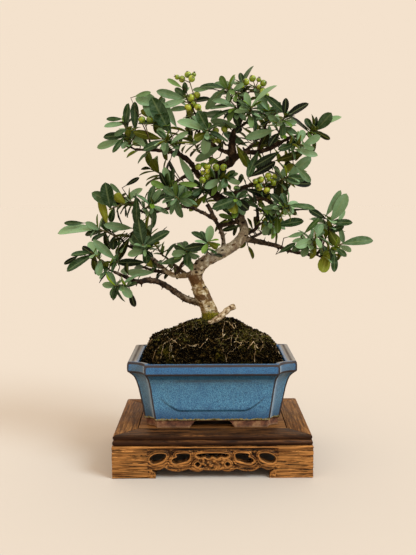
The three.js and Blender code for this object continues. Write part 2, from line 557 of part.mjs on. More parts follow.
function makeStand() {
  const sides = [
    ["front", STAND_LENGTH, FOOT_FRONT, FRONT_HOLES, 0, STAND_DEPTH / 2],
    ["right", STAND_DEPTH, FOOT_SIDE, SIDE_HOLES, Math.PI / 2, STAND_LENGTH / 2],
    ["back", STAND_LENGTH, FOOT_FRONT, FRONT_HOLES, Math.PI, STAND_DEPTH / 2],
    ["left", STAND_DEPTH, FOOT_SIDE, SIDE_HOLES, -Math.PI / 2, STAND_LENGTH / 2],
  ];
  makePanel();
  for (const [side, length, foot, holes, turn, distance] of sides) {
    makeRail(`stand_rail_${side}`, length, turn, distance);
    makeApron(`stand_apron_${side}`, length, foot, holes, turn, distance);
  }
}

// Pot and soil

// A rectangle whose corners are cut in along a quarter ellipse, anticlockwise seen from above
function covedRing(height, halfX, halfY, coveX, coveY) {
  const ring = [];
  for (const [signX, signY, order] of [[1, 1, 1], [-1, 1, -1], [-1, -1, 1], [1, -1, -1]]) {
    for (let i = 0; i <= CORNER_STEPS; i += 1) {
      const step = order > 0 ? i : CORNER_STEPS - i;
      const angle = (step / CORNER_STEPS) * (Math.PI / 2);
      const x = signX * (halfX - coveX * Math.sin(angle));
      const y = signY * (halfY - coveY * Math.cos(angle));
      ring.push(new THREE.Vector3(x, y, height));
    }
  }
  return ring;
}

function loftUp(rings) {
  return loft(rings, outlineCaps(rings[0].map((point) => new THREE.Vector2(point.x, point.y))));
}

function cylinder(radius, sides, bottom, top, x = 0, y = 0) {
  const geometry = new THREE.CylinderGeometry(radius, radius, top - bottom, sides);
  geometry.rotateX(Math.PI / 2);
  geometry.translate(x, y, (bottom + top) / 2);
  return solidOfGeometry(geometry);
}

function makePot() {
  const ground = STAND_HEIGHT;
  const shell = loftUp(POT_BODY.map((level) => covedRing(...level)));
  const hollow = loftUp(POT_HOLLOW.map((level) => covedRing(...level)));
  const outside = loftUp([ground, POT_FOOT_TOP].map((height) => covedRing(height, ...POT_FOOT_OUTSIDE)));
  const inside = loftUp([ground - CUT_MARGIN, POT_FOOT_TOP + CUT_MARGIN]
    .map((height) => covedRing(height, ...POT_FOOT_INSIDE)));
  const span = (length) => [
    [-length / 2, ground - CUT_MARGIN],
    [length / 2, ground - CUT_MARGIN],
    [length / 2 - FOOT_SPAN_SLOPE, POT_FOOT_TOP + CUT_MARGIN],
    [FOOT_SPAN_SLOPE - length / 2, POT_FOOT_TOP + CUT_MARGIN],
  ];
  const longSpan = prismAlongY(span(FOOT_SPAN_LONG), STAND_DEPTH / 2);
  const shortSpan = prismAlongY(span(FOOT_SPAN_SHORT), STAND_LENGTH / 2).rotate([0, 0, 90]);
  const feet = outside.subtract(inside).subtract(longSpan).subtract(shortSpan);
  let pot = shell.subtract(hollow).add(feet);
  for (const side of [-1, 1]) {
    const drain = cylinder(DRAIN_RADIUS, DRAIN_SIDES, ground, POT_FLOOR + CUT_MARGIN, side * DRAIN_X);
    pot = pot.subtract(drain);
  }
  addPiece("pot", pot, GLAZE);
}

// Bars each way, fused where they cross
function makeDrainMesh(name, x) {
  const length = (MESH_BARS - 1) * MESH_PITCH + MESH_BAR_WIDTH;
  const bars = Array.from({ length: MESH_BARS }, (_, i) => {
    const offset = (i - (MESH_BARS - 1) / 2) * MESH_PITCH;
    const bar = box(length, MESH_BAR_WIDTH, 0, MESH_THICKNESS).translate([0, offset, 0]);
    return bar.add(bar.rotate([0, 0, 90]));
  });
  const mesh = addPiece(name, bars.reduce((joined, bar) => joined.add(bar)), PLASTIC);
  mesh.position.set(x, 0, POT_FLOOR);
}

// The hollow's outline at a height, from its listed levels
function hollowAt(height) {
  const above = POT_HOLLOW.findIndex((level) => level[0] >= height);
  const [low, high] = [POT_HOLLOW[above - 1], POT_HOLLOW[above]];
  const share = (height - low[0]) / (high[0] - low[0]);
  return low.map((value, i) => value + (high[i] - value) * share);
}

function makeSoil() {
  const bottom = POT_FLOOR + MESH_THICKNESS + JOINT_GAP;
  const levels = POT_HOLLOW.map(([height]) => height).filter((z) => z > bottom && z < SOIL_WALL_TOP);
  const rings = [bottom, ...levels, SOIL_WALL_TOP].map((height) => {
    const [, halfX, halfY, coveX, coveY] = hollowAt(height);
    return covedRing(height, halfX - SOIL_GAP, halfY - SOIL_GAP, coveX, coveY);
  });
  const mouth = rings.at(-1);
  const draw = seededDraws(SOIL_SEED);
  for (const [share, height] of SOIL_MOUND) {
    rings.push(mouth.map((point) => {
      const swell = share + SOIL_SWELL * (2 * draw() - 1);
      const rise = height + SOIL_ROUGHNESS * (2 * draw() - 1) * share;
      return new THREE.Vector3(point.x * swell, point.y * swell, rise);
    }));
  }
  const [trunkX] = LIMBS.trunk[0];
  const hole = cylinder(TRUNK_HOLE_RADIUS, TRUNK_HOLE_SIDES, TRUNK_HOLE_BOTTOM, TRUNK_HOLE_TOP, trunkX);
  addPiece("soil", loftUp(rings).subtract(hole), EARTH);
}

// Wood

function vector([x, y, z]) {
  return new THREE.Vector3(x, y, z);
}

// Points along a centre line with their radius, at steps of about the length given
function stationsAlong(rows, step) {
  const curve = new THREE.CatmullRomCurve3(rows.map(vector), false, "catmullrom", CURVE_TENSION);
  const stations = [];
  for (let i = 0; i + 1 < rows.length; i += 1) {
    const parts = Math.max(1, Math.round(vector(rows[i]).distanceTo(vector(rows[i + 1])) / step));
    for (let part = i === 0 ? 0 : 1; part <= parts; part += 1) {
      const share = part / parts;
      const at = (i + share) / (rows.length - 1);
      const radius = rows[i][3] + (rows[i + 1][3] - rows[i][3]) * share;
      stations.push({ point: curve.getPoint(at), tangent: curve.getTangent(at), radius });
    }
  }
  return stations;
}

function tube(rows, sides, step) {
  const stations = stationsAlong(rows, step);
  const first = stations[0].tangent;
  let across = new THREE.Vector3(0, 1, 0).cross(first);
  if (across.length() < LEAST_TURN) {
    across = new THREE.Vector3(1, 0, 0).cross(first);
  }
  const rings = stations.map(({ point, tangent, radius }) => {
    across = across.clone().addScaledVector(tangent, -across.dot(tangent)).normalize();
    const up = tangent.clone().cross(across);
    return Array.from({ length: sides }, (_, i) => {
      const angle = (2 * Math.PI * i) / sides;
      return point.clone()
        .addScaledVector(across, radius * Math.cos(angle))
        .addScaledVector(up, radius * Math.sin(angle));
    });
  });
  return loft(rings, fanCaps(sides));
}

// A shoot's centre line, which rises a little in its middle, and the bark twig that carries it
function shootRows({ base, tip }) {
  const length = vector(base).distanceTo(vector(tip));
  const middle = vector(base).add(vector(tip)).multiplyScalar(0.5);
  const middleRadius = (SHOOT_BASE_RADIUS + SHOOT_TIP_RADIUS) / 2;
  return [
    [...base, SHOOT_BASE_RADIUS],
    [middle.x, middle.y, middle.z + SHOOT_RISE * length, middleRadius],
    [...tip, SHOOT_TIP_RADIUS],
  ];
}

function twigRows({ limb, point, rows }) {
  const base = vector(rows[0]);
  const direction = vector(rows[1]).sub(base).normalize();
  const start = vector(LIMBS[limb][point]);
  const leadLength = Math.min(TWIG_LEAD, TWIG_LEAD_SHARE * start.distanceTo(base));
  const lead = base.clone().addScaledVector(direction, -leadLength);
  const end = base.clone().addScaledVector(direction, -JOINT_GAP);
  const startRadius = Math.min(LIMBS[limb][point][3], TWIG_RADIUS);
  return [
    [start.x, start.y, start.z, startRadius],
    [lead.x, lead.y, lead.z, TWIG_RADIUS],
    [end.x, end.y, end.z, SHOOT_BASE_RADIUS],
  ];
}

// Room already taken: points with the distance that a leaf keeps to them, and the shoot they belong to
const taken = [];

function takeTube(rows, clearance, owner) {
  for (const { point, radius } of stationsAlong(rows, TAKEN_STEP)) {
    taken.push({ point, reach: radius + clearance, owner });
  }
}

function isClear(samples, owner) {
  return samples.every(({ point, share }) => taken.every((other) => {
    const isOwn = other.owner === owner;
    if (isOwn && (other.share === undefined || share < OWN_STALK_SHARE)) {
      return true;
    }
    const reach = (isOwn ? OWN_CLEARANCE : other.reach) - (share < STALK_SHARE ? STALK_EASE : 0);
    return point.distanceToSquared(other.point) >= reach * reach;
  }));
}

// Leaves

// Half width along a leaf, as a share of its widest: a thin stalk, widest past the middle, a blunt tip
function leafOutline(share) {
  const peak = LEAF_TAPER_BASE / (LEAF_TAPER_BASE + LEAF_TAPER_TIP);
  const taper = (at) => at ** LEAF_TAPER_BASE * (1 - at) ** LEAF_TAPER_TIP;
  return taper(share) / taper(peak);
}

function leafPoint(leaf, share, across, lift) {
  const half = Math.max((leaf.width / 2) * leafOutline(share), share < 1 ? PETIOLE_HALF_WIDTH : 0);
  const folded = LEAF_FOLD * half * Math.abs(across);
  const bent = leaf.bend * leaf.length * share ** 2;
  return leaf.origin.clone()
    .addScaledVector(leaf.direction, leaf.length * share)
    .addScaledVector(leaf.side, half * across)
    .addScaledVector(leaf.normal, lift + folded - bent);
}

function leafSamples(leaf) {
  const samples = [];
  for (const share of SAMPLE_SHARES) {
    for (const across of SAMPLE_SIDES) {
      samples.push({ point: leafPoint(leaf, share, across, 0), share });
    }
  }
  return samples;
}

function leafSolid(leaf) {
  const rings = LEAF_STATIONS.map((share) => {
    const thickness = share > 0 ? LEAF_THICKNESS : PETIOLE_THICKNESS;
    return [
      leafPoint(leaf, share, 0, -thickness),
      leafPoint(leaf, share, 1, 0),
      leafPoint(leaf, share, -1, 0),
    ];
  });
  return loft(rings, fanCaps(3), leafPoint(leaf, 1, 0, 0));
}

// The frame of a leaf that is turned until its blade shows the width seen from the front. One with no
// such width faces the end of its shoot.
function turnedLeaf({ origin, heading, lean, length, width, seen, bend, axis }) {
  const flat = Math.cos(lean * DEGREE);
  const direction = new THREE.Vector3(
    flat * Math.cos(heading * DEGREE),
    -Math.sin(lean * DEGREE),
    flat * Math.sin(heading * DEGREE),
  );
  const level = (towards) => towards.clone().addScaledVector(direction, -towards.dot(direction)).normalize();
  let normal = level(axis.clone().multiplyScalar(FACING_AXIS).add(new THREE.Vector3(0, 0, FACING_UP)));
  if (seen !== null) {
    const facing = level(new THREE.Vector3(0, -1, 0));
    const sideways = direction.clone().cross(facing);
    const share = Math.min(1, Math.abs(seen) / width);
    const turn = Math.sqrt(1 - share * share) * (sideways.z >= 0 ? 1 : -1);
    normal = facing.multiplyScalar(share * Math.sign(seen)).addScaledVector(sideways, turn);
  }
  const side = normal.clone().cross(direction);
  return { origin, direction, normal, side, length, width, bend };
}

// All leaves that a shoot asks for, listed ones first, each with the values that its turns start from
function wantedLeaves(shoot, number) {
  const draw = seededDraws(SHOOT_SEED * (number + FIRST_SHOOT));
  draw();
  const curve = new THREE.CatmullRomCurve3(shoot.rows.map(vector), false, "catmullrom", CURVE_TENSION);
  const axis = vector(shoot.tip).sub(vector(shoot.base)).normalize();
  const listed = shoot.leaves.map(([heading, lean, length, seen], i) => ({
    origin: curve.getPoint(LISTED_START + (LISTED_SPAN * (i + 1)) / shoot.leaves.length),
    heading,
    lean,
    length,
    seen,
    width: Math.max(Math.abs(seen), LEAST_WIDTH_RATIO * length),
    bend: LEAST_BEND + BEND_SPREAD * draw(),
    axis,
  }));
  const away = new THREE.Vector3(0, 1, 0).addScaledVector(axis, -axis.y).normalize();
  const beside = axis.clone().cross(away);
  const count = shoot.behind ?? shoot.round;
  const ruled = Array.from({ length: count }, (_, i) => {
    const share = (i + ADDED_OFFSET) / count;
    const angle = (i * GOLDEN_ANGLE + ADDED_TURN_SPREAD * (draw() - 0.5)) * DEGREE;
    const opening = ADDED_OPENING - ADDED_OPENING_FALL * share + ADDED_OPENING_SPREAD * (draw() - 0.5);
    const open = opening * DEGREE;
    const radial = away.clone().multiplyScalar(Math.cos(angle)).addScaledVector(beside, Math.sin(angle));
    const direction = axis.clone().multiplyScalar(Math.cos(open)).addScaledVector(radial, Math.sin(open));
    const length = ADDED_LENGTH + ADDED_LENGTH_SPREAD * draw();
    const lean = shoot.round
      ? Math.asin(-direction.y) / DEGREE
      : BEHIND_LEAN + BEHIND_LEAN_SPREAD * draw();
    return {
      origin: curve.getPoint(ADDED_START + ADDED_SPAN * share),
      heading: shoot.round ? Math.atan2(direction.z, direction.x) / DEGREE : angle / DEGREE,
      lean,
      length,
      seen: null,
      width: length * (ADDED_WIDTH_RATIO + ADDED_WIDTH_SPREAD * draw()),
      bend: LEAST_BEND + BEND_SPREAD * draw(),
      axis,
    };
  });
  return { listed, ruled };
}

// Turns a leaf until it is clear of what is already there. One that finds no room is left out.
function placeLeaf(wanted, owner) {
  for (const [heading, lean] of LEAF_TURNS) {
    const leaf = turnedLeaf({ ...wanted, heading: wanted.heading + heading, lean: wanted.lean + lean });
    const samples = leafSamples(leaf);
    const isInside = samples.every(({ point }) => Math.abs(point.y) < FRONT_LIMIT);
    if (isInside && isClear(samples, owner)) {
      samples.forEach(({ point, share }) => taken.push({ point, share, reach: LEAF_CLEARANCE, owner }));
      return leaf;
    }
  }
  return null;
}

// Berries

function berrySolid(center) {
  const geometry = new THREE.IcosahedronGeometry(BERRY_RADIUS);
  geometry.translate(...center);
  return solidOfGeometry(geometry);
}

function nearestRow(rows, center) {
  const distances = rows.map((row) => vector(row).distanceTo(vector(center)));
  return rows[distances.indexOf(Math.min(...distances))];
}

function makeBunch({ name, rows, berries }) {
  let solid = tube(rows, STALK_SIDES, STALK_STEP);
  for (const center of berries) {
    const line = [nearestRow(rows.slice(1), center), [...center, STALK_RADIUS]];
    const stalk = tube(line, STALK_SIDES, STALK_STEP);
    solid = solid.add(stalk).add(berrySolid(center));
  }
  addPiece(name, solid, BERRY_GREEN);
}

// Tree

function makeTree() {
  const shoots = SHOOTS.map((shoot) => ({ ...shoot, rows: shootRows(shoot) }));
  const bunches = BUNCHES.map((bunch) => ({
    ...bunch,
    rows: bunch.stalk.map((point) => [...point, STALK_RADIUS]),
  }));
  let wood = null;
  for (const [name, rows] of Object.entries(LIMBS)) {
    const isTrunk = name === "trunk";
    const branchSides = rows[0][3] < THIN_BRANCH_RADIUS ? THIN_BRANCH_SIDES : BRANCH_SIDES;
    const limb = tube(rows, isTrunk ? TRUNK_SIDES : branchSides, isTrunk ? TRUNK_STEP : BRANCH_STEP);
    wood = wood ? wood.add(limb) : limb;
    takeTube(rows, WOOD_CLEARANCE, "wood");
  }
  for (const carried of [...shoots, ...bunches]) {
    const rows = twigRows(carried);
    wood = wood.add(tube(rows, TWIG_SIDES, TWIG_STEP));
    takeTube(rows, WOOD_CLEARANCE, "wood");
    takeTube(carried.rows, SHOOT_CLEARANCE, carried.name);
  }
  addPiece("tree", wood, BARK);
  for (const { name, berries } of bunches) {
    for (const center of berries) {
      taken.push({ point: vector(center), reach: BERRY_RADIUS + WOOD_CLEARANCE, owner: name });
    }
  }
  bunches.forEach(makeBunch);
  const wanted = shoots.map(wantedLeaves);
  const placed = shoots.map(({ name }, i) => wanted[i].listed.map((leaf) => placeLeaf(leaf, name)));
  shoots.forEach(({ name, rows }, i) => {
    const leaves = [...placed[i], ...wanted[i].ruled.map((leaf) => placeLeaf(leaf, name))];
    let spray = tube(rows, SHOOT_SIDES, SHOOT_STEP);
    for (const leaf of leaves.filter(Boolean)) {
      spray = spray.add(leafSolid(leaf));
    }
    addPiece(name, spray, LEAF_GREEN);
  });
}

makeStand();
makePot();
makeDrainMesh("drain_mesh_left", -DRAIN_X);
makeDrainMesh("drain_mesh_right", DRAIN_X);
makeSoil();
makeTree();

export default bonsai;
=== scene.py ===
# A firethorn bonsai in a glazed pot with cut-in corners, on a carved wooden stand.
# Metres, +Z up, +X to the viewer's right, the viewer on the -Y side. Sizes are written in
# millimetres and brought to metres by MM.
import math
import random

import bmesh
import bpy
import numpy as np
from mathutils import Matrix, Quaternion, Vector, noise
from mathutils.bvhtree import BVHTree
from mathutils.kdtree import KDTree


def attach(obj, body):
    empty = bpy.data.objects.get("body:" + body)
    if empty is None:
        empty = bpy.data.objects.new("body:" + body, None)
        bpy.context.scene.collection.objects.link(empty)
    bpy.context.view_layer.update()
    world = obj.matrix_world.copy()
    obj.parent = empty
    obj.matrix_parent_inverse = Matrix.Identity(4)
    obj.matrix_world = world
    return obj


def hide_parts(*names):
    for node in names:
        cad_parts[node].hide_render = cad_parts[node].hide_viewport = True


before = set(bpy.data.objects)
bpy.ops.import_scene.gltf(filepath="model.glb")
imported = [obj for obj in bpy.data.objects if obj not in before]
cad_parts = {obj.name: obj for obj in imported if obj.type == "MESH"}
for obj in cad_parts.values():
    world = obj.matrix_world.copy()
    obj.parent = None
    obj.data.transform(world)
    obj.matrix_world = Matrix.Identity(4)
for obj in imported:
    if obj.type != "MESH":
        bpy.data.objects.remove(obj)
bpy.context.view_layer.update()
scene = bpy.context.scene
MM = 0.001

# The view: a long lens a little above the pot's rim, looking slightly down at the middle of the tree.
VIEW_TARGET = Vector((-3.65, 0, 195.2)) * MM
VIEW_DISTANCE = 758 * MM
VIEW_ELEVATION = math.radians(6.2)
VIEW_ROLL = math.radians(-0.3)
VIEW_LENS = 46.0

lens = bpy.data.cameras.new("view")
lens.lens = VIEW_LENS
camera = bpy.data.objects.new("view", lens)
scene.collection.objects.link(camera)
back = Vector((0, -math.cos(VIEW_ELEVATION), math.sin(VIEW_ELEVATION)))
up = Vector((0, math.sin(VIEW_ELEVATION), math.cos(VIEW_ELEVATION)))
right = Vector((1, 0, 0)) * math.cos(VIEW_ROLL) + up * math.sin(VIEW_ROLL)
turned = Matrix((right, back.cross(right), back)).transposed().to_4x4()
camera.matrix_world = Matrix.Translation(VIEW_TARGET + back * VIEW_DISTANCE) @ turned
scene.camera = camera

# The room: a pale floor that runs out to a pale horizon of the same tone, under a soft sky that is
# brightest overhead, and one broad lamp from the upper right, so that the shadow falls to the left.
ROOM_TONE = (0.905, 0.759, 0.610)
ZENITH_SHARE = 2.2
FLOOR_SIZE = 60.0
FLOOR_TONE = (0.484, 0.441, 0.397)
LAMP_AIM = Vector((-0.62, 0.42, -0.66))
LAMP_SPREAD = math.radians(26)
LAMP_TONE = (0.743, 0.903, 1.0)
LAMP_ENERGY = 2.63

scene.view_settings.view_transform = "Standard"
scene.view_settings.look = "None"


def srgb(red, green, blue):
    """A colour given from 0 to 255 as the linear colour that a shader takes."""
    def linear(value):
        share = value / 255
        return share / 12.92 if share <= 0.04045 else ((share + 0.055) / 1.055) ** 2.4
    return (linear(red), linear(green), linear(blue), 1.0)


def add_node(tree, kind, inputs=None, **settings):
    """A shader node with its settings, and its inputs joined to a socket or given a value."""
    made = tree.nodes.new(f"ShaderNode{kind}")
    for name, value in settings.items():
        setattr(made, name, value)
    for name, value in (inputs or {}).items():
        if isinstance(value, bpy.types.NodeSocket):
            tree.links.new(value, made.inputs[name])
        else:
            made.inputs[name].default_value = value
    return made


def new_finish(name, rough=0.5, specular=0.5):
    """An empty material with its tree and the shader that ends it."""
    finish = bpy.data.materials.new(name)
    finish.use_nodes = True
    tree = finish.node_tree
    tree.nodes.clear()
    shader = add_node(tree, "BsdfPrincipled", {"Roughness": rough, "Specular IOR Level": specular})
    add_node(tree, "OutputMaterial", {"Surface": shader.outputs["BSDF"]})
    return finish, tree, shader


def mesh_from(name, form):
    """A mesh of a bmesh, which is then freed."""
    mesh = bpy.data.meshes.new(name)
    form.to_mesh(mesh)
    form.free()
    return mesh


def thing_of(name, form):
    return bpy.data.objects.new(name, mesh_from(name, form))


room = bpy.data.worlds.new("room")
room.use_nodes = True
sky = room.node_tree
sky.nodes["Background"].inputs["Color"].default_value = (*ROOM_TONE, 1)
sky_place = add_node(sky, "TexCoord").outputs["Generated"]
sky_way = add_node(sky, "SeparateXYZ", {"Vector": sky_place}).outputs["Z"]
sky_strength = add_node(sky, "MapRange", {"Value": sky_way, "From Min": 0.35, "From Max": 1.0,
                        "To Min": 1.0, "To Max": ZENITH_SHARE}).outputs["Result"]
sky.links.new(sky_strength, sky.nodes["Background"].inputs["Strength"])
scene.world = room

lamp = bpy.data.lights.new("broad_lamp", "SUN")
lamp.angle = LAMP_SPREAD
lamp.color = LAMP_TONE
lamp.energy = LAMP_ENERGY
lamp_holder = bpy.data.objects.new("broad_lamp", lamp)
lamp_holder.rotation_mode = "QUATERNION"
lamp_holder.rotation_quaternion = (-LAMP_AIM).to_track_quat("Z", "Y")
scene.collection.objects.link(lamp_holder)

floor_form = bmesh.new()
bmesh.ops.create_grid(floor_form, x_segments=1, y_segments=1, size=FLOOR_SIZE / 2)
floor = thing_of("floor", floor_form)
scene.collection.objects.link(floor)
floor_finish, _, floor_shader = new_finish("floor_paper", 1.0, 0.0)
floor_shader.inputs["Base Color"].default_value = (*FLOOR_TONE, 1)
floor.data.materials.append(floor_finish)

# Stand top: four moulded rails round one floating panel, in dark oiled hardwood. The rails are run to
# one section, mitred at the corners, and hold the panel's tongue in their groove with a gap all round.
STAND_LENGTH = 201
STAND_DEPTH = 136
STAND_HEIGHT = 44
RAIL_WIDTH = 23.5
JOINT_GAP = 0.3
PANEL_GAP = 0.7
RAIL_SECTION = [
    (2.2, 33), (23.5, 33), (23.5, 37.6), (19.5, 37.6), (19.5, 41), (23.5, 41), (23.5, 44),
    (2.6, 44), (0.9, 42.9), (0.7, 41.6), (1.0, 40), (2.0, 38.9), (0.9, 38.1), (0, 36.4), (0.5, 34.2),
]
RAIL_EASING = 0.45
PANEL_BOTTOM = 35
TONGUE = (3.6, 37.9, 40.7)
SIDES = [
    ("front", STAND_LENGTH, 0, STAND_DEPTH / 2),
    ("right", STAND_DEPTH, math.pi / 2, STAND_LENGTH / 2),
    ("back", STAND_LENGTH, math.pi, STAND_DEPTH / 2),
    ("left", STAND_DEPTH, -math.pi / 2, STAND_LENGTH / 2),
]


def shade(tone):
    """A linear colour from a grey level, from red, green and blue up to 255, or from one already linear."""
    if isinstance(tone, (int, float)):
        return (tone, tone, tone, 1)
    return srgb(*tone) if len(tone) == 3 else tone


def darker(tone, share):
    return (*(channel * share for channel in srgb(*tone)[:3]), 1)


def ramp(tree, factor, stops):
    """A colour ramp over stops of a place and a tone."""
    made = add_node(tree, "ValToRGB", {"Fac": factor})
    band = made.color_ramp
    for extra, (place, tone) in enumerate(stops):
        stop = band.elements[extra] if extra < 2 else band.elements.new(place)
        stop.position = place
        stop.color = shade(tone)
    return made.outputs["Color"]


def blend(tree, share, *tones):
    """Two tones mixed by a share, each a tone or a socket."""
    first, second = (tone if isinstance(tone, bpy.types.NodeSocket) else shade(tone) for tone in tones)
    return add_node(tree, "Mix", {0: share, 6: first, 7: second}, data_type="RGBA").outputs[2]


def grain(tree, place, scale, detail=4.0, rough=0.55, twist=0.0):
    """A noise over a vector, as one value."""
    inputs = {"Vector": place, "Scale": scale, "Detail": detail, "Roughness": rough, "Distortion": twist}
    return add_node(tree, "TexNoise", inputs).outputs["Fac"]


def object_place(tree):
    return add_node(tree, "TexCoord").outputs["Object"]


def named(tree, name):
    return add_node(tree, "Attribute", attribute_name=name).outputs["Fac"]


def part_of(tree, place, axis):
    return add_node(tree, "SeparateXYZ", {"Vector": place}).outputs[axis]


def maths(tree, operation, *values, clamp=False):
    return add_node(tree, "Math", dict(enumerate(values)), operation=operation, use_clamp=clamp).outputs[0]


def stretched(tree, scale, turn=0.0):
    """Object coordinates, turned about Z and stretched."""
    turned_place = add_node(tree, "Mapping", {"Vector": object_place(tree), "Rotation": (0, 0, -turn)})
    inputs = {"Vector": turned_place.outputs["Vector"], "Scale": scale}
    return add_node(tree, "Mapping", inputs).outputs["Vector"]


def spread(tree, value, start, end, low=0.0, high=1.0):
    """A value carried from one span to another and held at both ends."""
    inputs = {"Value": value, "From Min": start, "From Max": end, "To Min": low, "To Max": high}
    return add_node(tree, "MapRange", inputs).outputs["Result"]


def between(tree, value, start, end):
    """0 before a place and 1 after it, both in millimetres, over a value in metres."""
    return spread(tree, value, start * MM, end * MM)


def product(tree, first, second, clamp=False):
    return maths(tree, "MULTIPLY", first, second, clamp=clamp)


def upward_share(tree):
    """How far the surface faces up, 1 on level tops."""
    return part_of(tree, add_node(tree, "NewGeometry").outputs["Normal"], "Z")


def dress(tree, shader, colour, height, strength, depth):
    """The colour of a skin and its relief."""
    tree.links.new(colour, shader.inputs["Base Color"])
    inputs = {"Height": height, "Strength": strength, "Distance": depth * MM}
    tree.links.new(add_node(tree, "Bump", inputs).outputs["Normal"], shader.inputs["Normal"])


def wood_finish(name, turn, dark, middle, light, contrast, gloss, painted_side_shade=None, carved=False, shade_under_pot=False):
    """Hardwood with its grain along X before the turn: broad bands, fine dark pores and worn patches. The
    upright faces may be painted darker than the top as painted shade, carved wood is finer, with painted
    shade in its recesses and a painted highlight with some wear on its ridges, and the panel has painted
    shade under the pot."""
    finish, tree, shader = new_finish(name, specular=0.12)
    fineness = 1.5 if carved else 1.0
    bands = grain(tree, stretched(tree, (20, 330, 330), turn), fineness, 6, 0.75, 0.8)
    pores = grain(tree, stretched(tree, (34, 380, 380), turn), fineness, 3, 0.75, 0.3)
    wear = grain(tree, stretched(tree, (45, 45, 45), turn), 1.0, 3, 0.6)
    body = ramp(tree, bands, [(0.39, dark), (0.5, middle), (0.59, light)])
    pore_share = ramp(tree, pores, [(0.44, contrast), (0.49, 0)])
    streaked = blend(tree, pore_share, body, darker(dark, 0.28))
    worn_share = ramp(tree, wear, [(0.5, 0), (0.78, 0.35)])
    colour = blend(tree, worn_share, streaked, light)
    # Painted shade: faces that do not look up are mixed towards a darker tone, as if only the tops caught the
    # light.
    if painted_side_shade:
        colour = blend(tree, spread(tree, upward_share(tree), 0.85, 0.45, high=0.8), colour, painted_side_shade)
    # Painted shade: the panel is darkened under the pot, where the gap between the feet lies in shade.
    if shade_under_pot:
        away = add_node(tree, "VectorMath", {0: object_place(tree)}, operation="ABSOLUTE").outputs["Vector"]
        painted_shade_under_pot = product(tree, between(tree, part_of(tree, away, "X"), 62, 54),
                            between(tree, part_of(tree, away, "Y"), 34, 29))
        colour = blend(tree, product(tree, painted_shade_under_pot, 0.9), colour, (14, 7, 3))
    if carved:
        # Painted shade in the carving's recesses, and a painted highlight, with some wear, on its highest
        # ridges.
        relief = named(tree, "relief")
        painted_recess_shade = ramp(tree, relief, [(0.1, 0.92), (0.45, 0.5), (0.75, 0)])
        colour = blend(tree, painted_recess_shade, colour, darker(dark, 0.3))
        colour = blend(tree, ramp(tree, relief, [(0.84, 0), (0.98, 0.6)]), colour, light)
    tree.links.new(ramp(tree, wear, [(0.3, gloss), (0.8, gloss + 0.25)]), shader.inputs["Roughness"])
    dress(tree, shader, colour, pores, 0.9, 0.5)
    return finish


def add_piece(name, form, finishes, nodes=(), crease=40):
    """A finished piece in place: its mesh from a bmesh, its materials, and what it stands for."""
    piece = thing_of(name, form)
    piece.data.shade_smooth()
    piece.data.set_sharp_from_angle(angle=math.radians(crease))
    for finish in finishes:
        piece.data.materials.append(finish)
    scene.collection.objects.link(piece)
    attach(piece, "root")
    if nodes:
        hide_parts(*nodes)


def of_kind(parts, kind):
    return [part for part in parts if isinstance(part, kind)]


def cut_away(form, point, normal):
    """Cuts off what lies beyond a plane and closes the cut."""
    everything = form.verts[:] + form.edges[:] + form.faces[:]
    cut = bmesh.ops.bisect_plane(form, geom=everything, plane_co=point, plane_no=normal, clear_outer=True)
    bmesh.ops.holes_fill(form, edges=of_kind(cut["geom_cut"], bmesh.types.BMEdge), sides=0)


def mitre(form, half, front):
    """Cuts both ends of a board along X at 45 degrees, with half the joint gap at each."""
    for end in (1, -1):
        cut_away(form, Vector((end * (half - JOINT_GAP / 2), front, 0)) * MM, Vector((end, 1, 0)))


def ease_edges(form, width, least=0.5):
    """Rounds the edges whose faces meet at a good angle."""
    sharp = [edge for edge in form.edges if edge.is_manifold and edge.calc_face_angle(0) > least]
    bmesh.ops.bevel(form, geom=sharp, offset=width * MM, offset_type="OFFSET", segments=2, profile=0.5,
                    affect="EDGES", material=-1, clamp_overlap=True)


def moulded_rail(length, distance):
    """One rail along X: its section drawn out, mitred at both ends and eased."""
    form = bmesh.new()
    half = length / 2 + 1
    corners = [Vector((-half, inward - distance, height)) * MM for inward, height in RAIL_SECTION]
    section = form.faces.new([form.verts.new(corner) for corner in corners])
    drawn = bmesh.ops.extrude_face_region(form, geom=[section])
    moved = of_kind(drawn["geom"], bmesh.types.BMVert)
    bmesh.ops.translate(form, vec=(2 * half * MM, 0, 0), verts=moved)
    bmesh.ops.recalc_face_normals(form, faces=form.faces)
    mitre(form, length / 2, -distance)
    ease_edges(form, RAIL_EASING)
    return form


def turn_about_z(form, turn):
    bmesh.ops.rotate(form, verts=form.verts, cent=(0, 0, 0), matrix=Matrix.Rotation(turn, 3, "Z"))


TOP_TONES = ((66, 38, 14), (104, 66, 32), (136, 94, 52))
# The front rail has darker tones than the other rails: painted shade on the front of the stand.
FRONT_SHADED_TONES = ((24, 11, 4), (58, 34, 14), (110, 70, 34))
# The darker tone that the upright faces of the stand top are painted with, as painted shade.
PAINTED_SIDE_SHADE = (38, 16, 3)
for side, length, turn, distance in SIDES:
    rail = moulded_rail(length, distance)
    turn_about_z(rail, turn)
    tones = FRONT_SHADED_TONES if side == "front" else TOP_TONES
    streaks = 0.8 if side == "front" else 0.4
    rail_wood = wood_finish(f"oiled_rail_{side}", turn, *tones, streaks, 0.5, PAINTED_SIDE_SHADE)
    add_piece(f"rail_{side}", rail, [rail_wood], [f"stand_rail_{side}"])

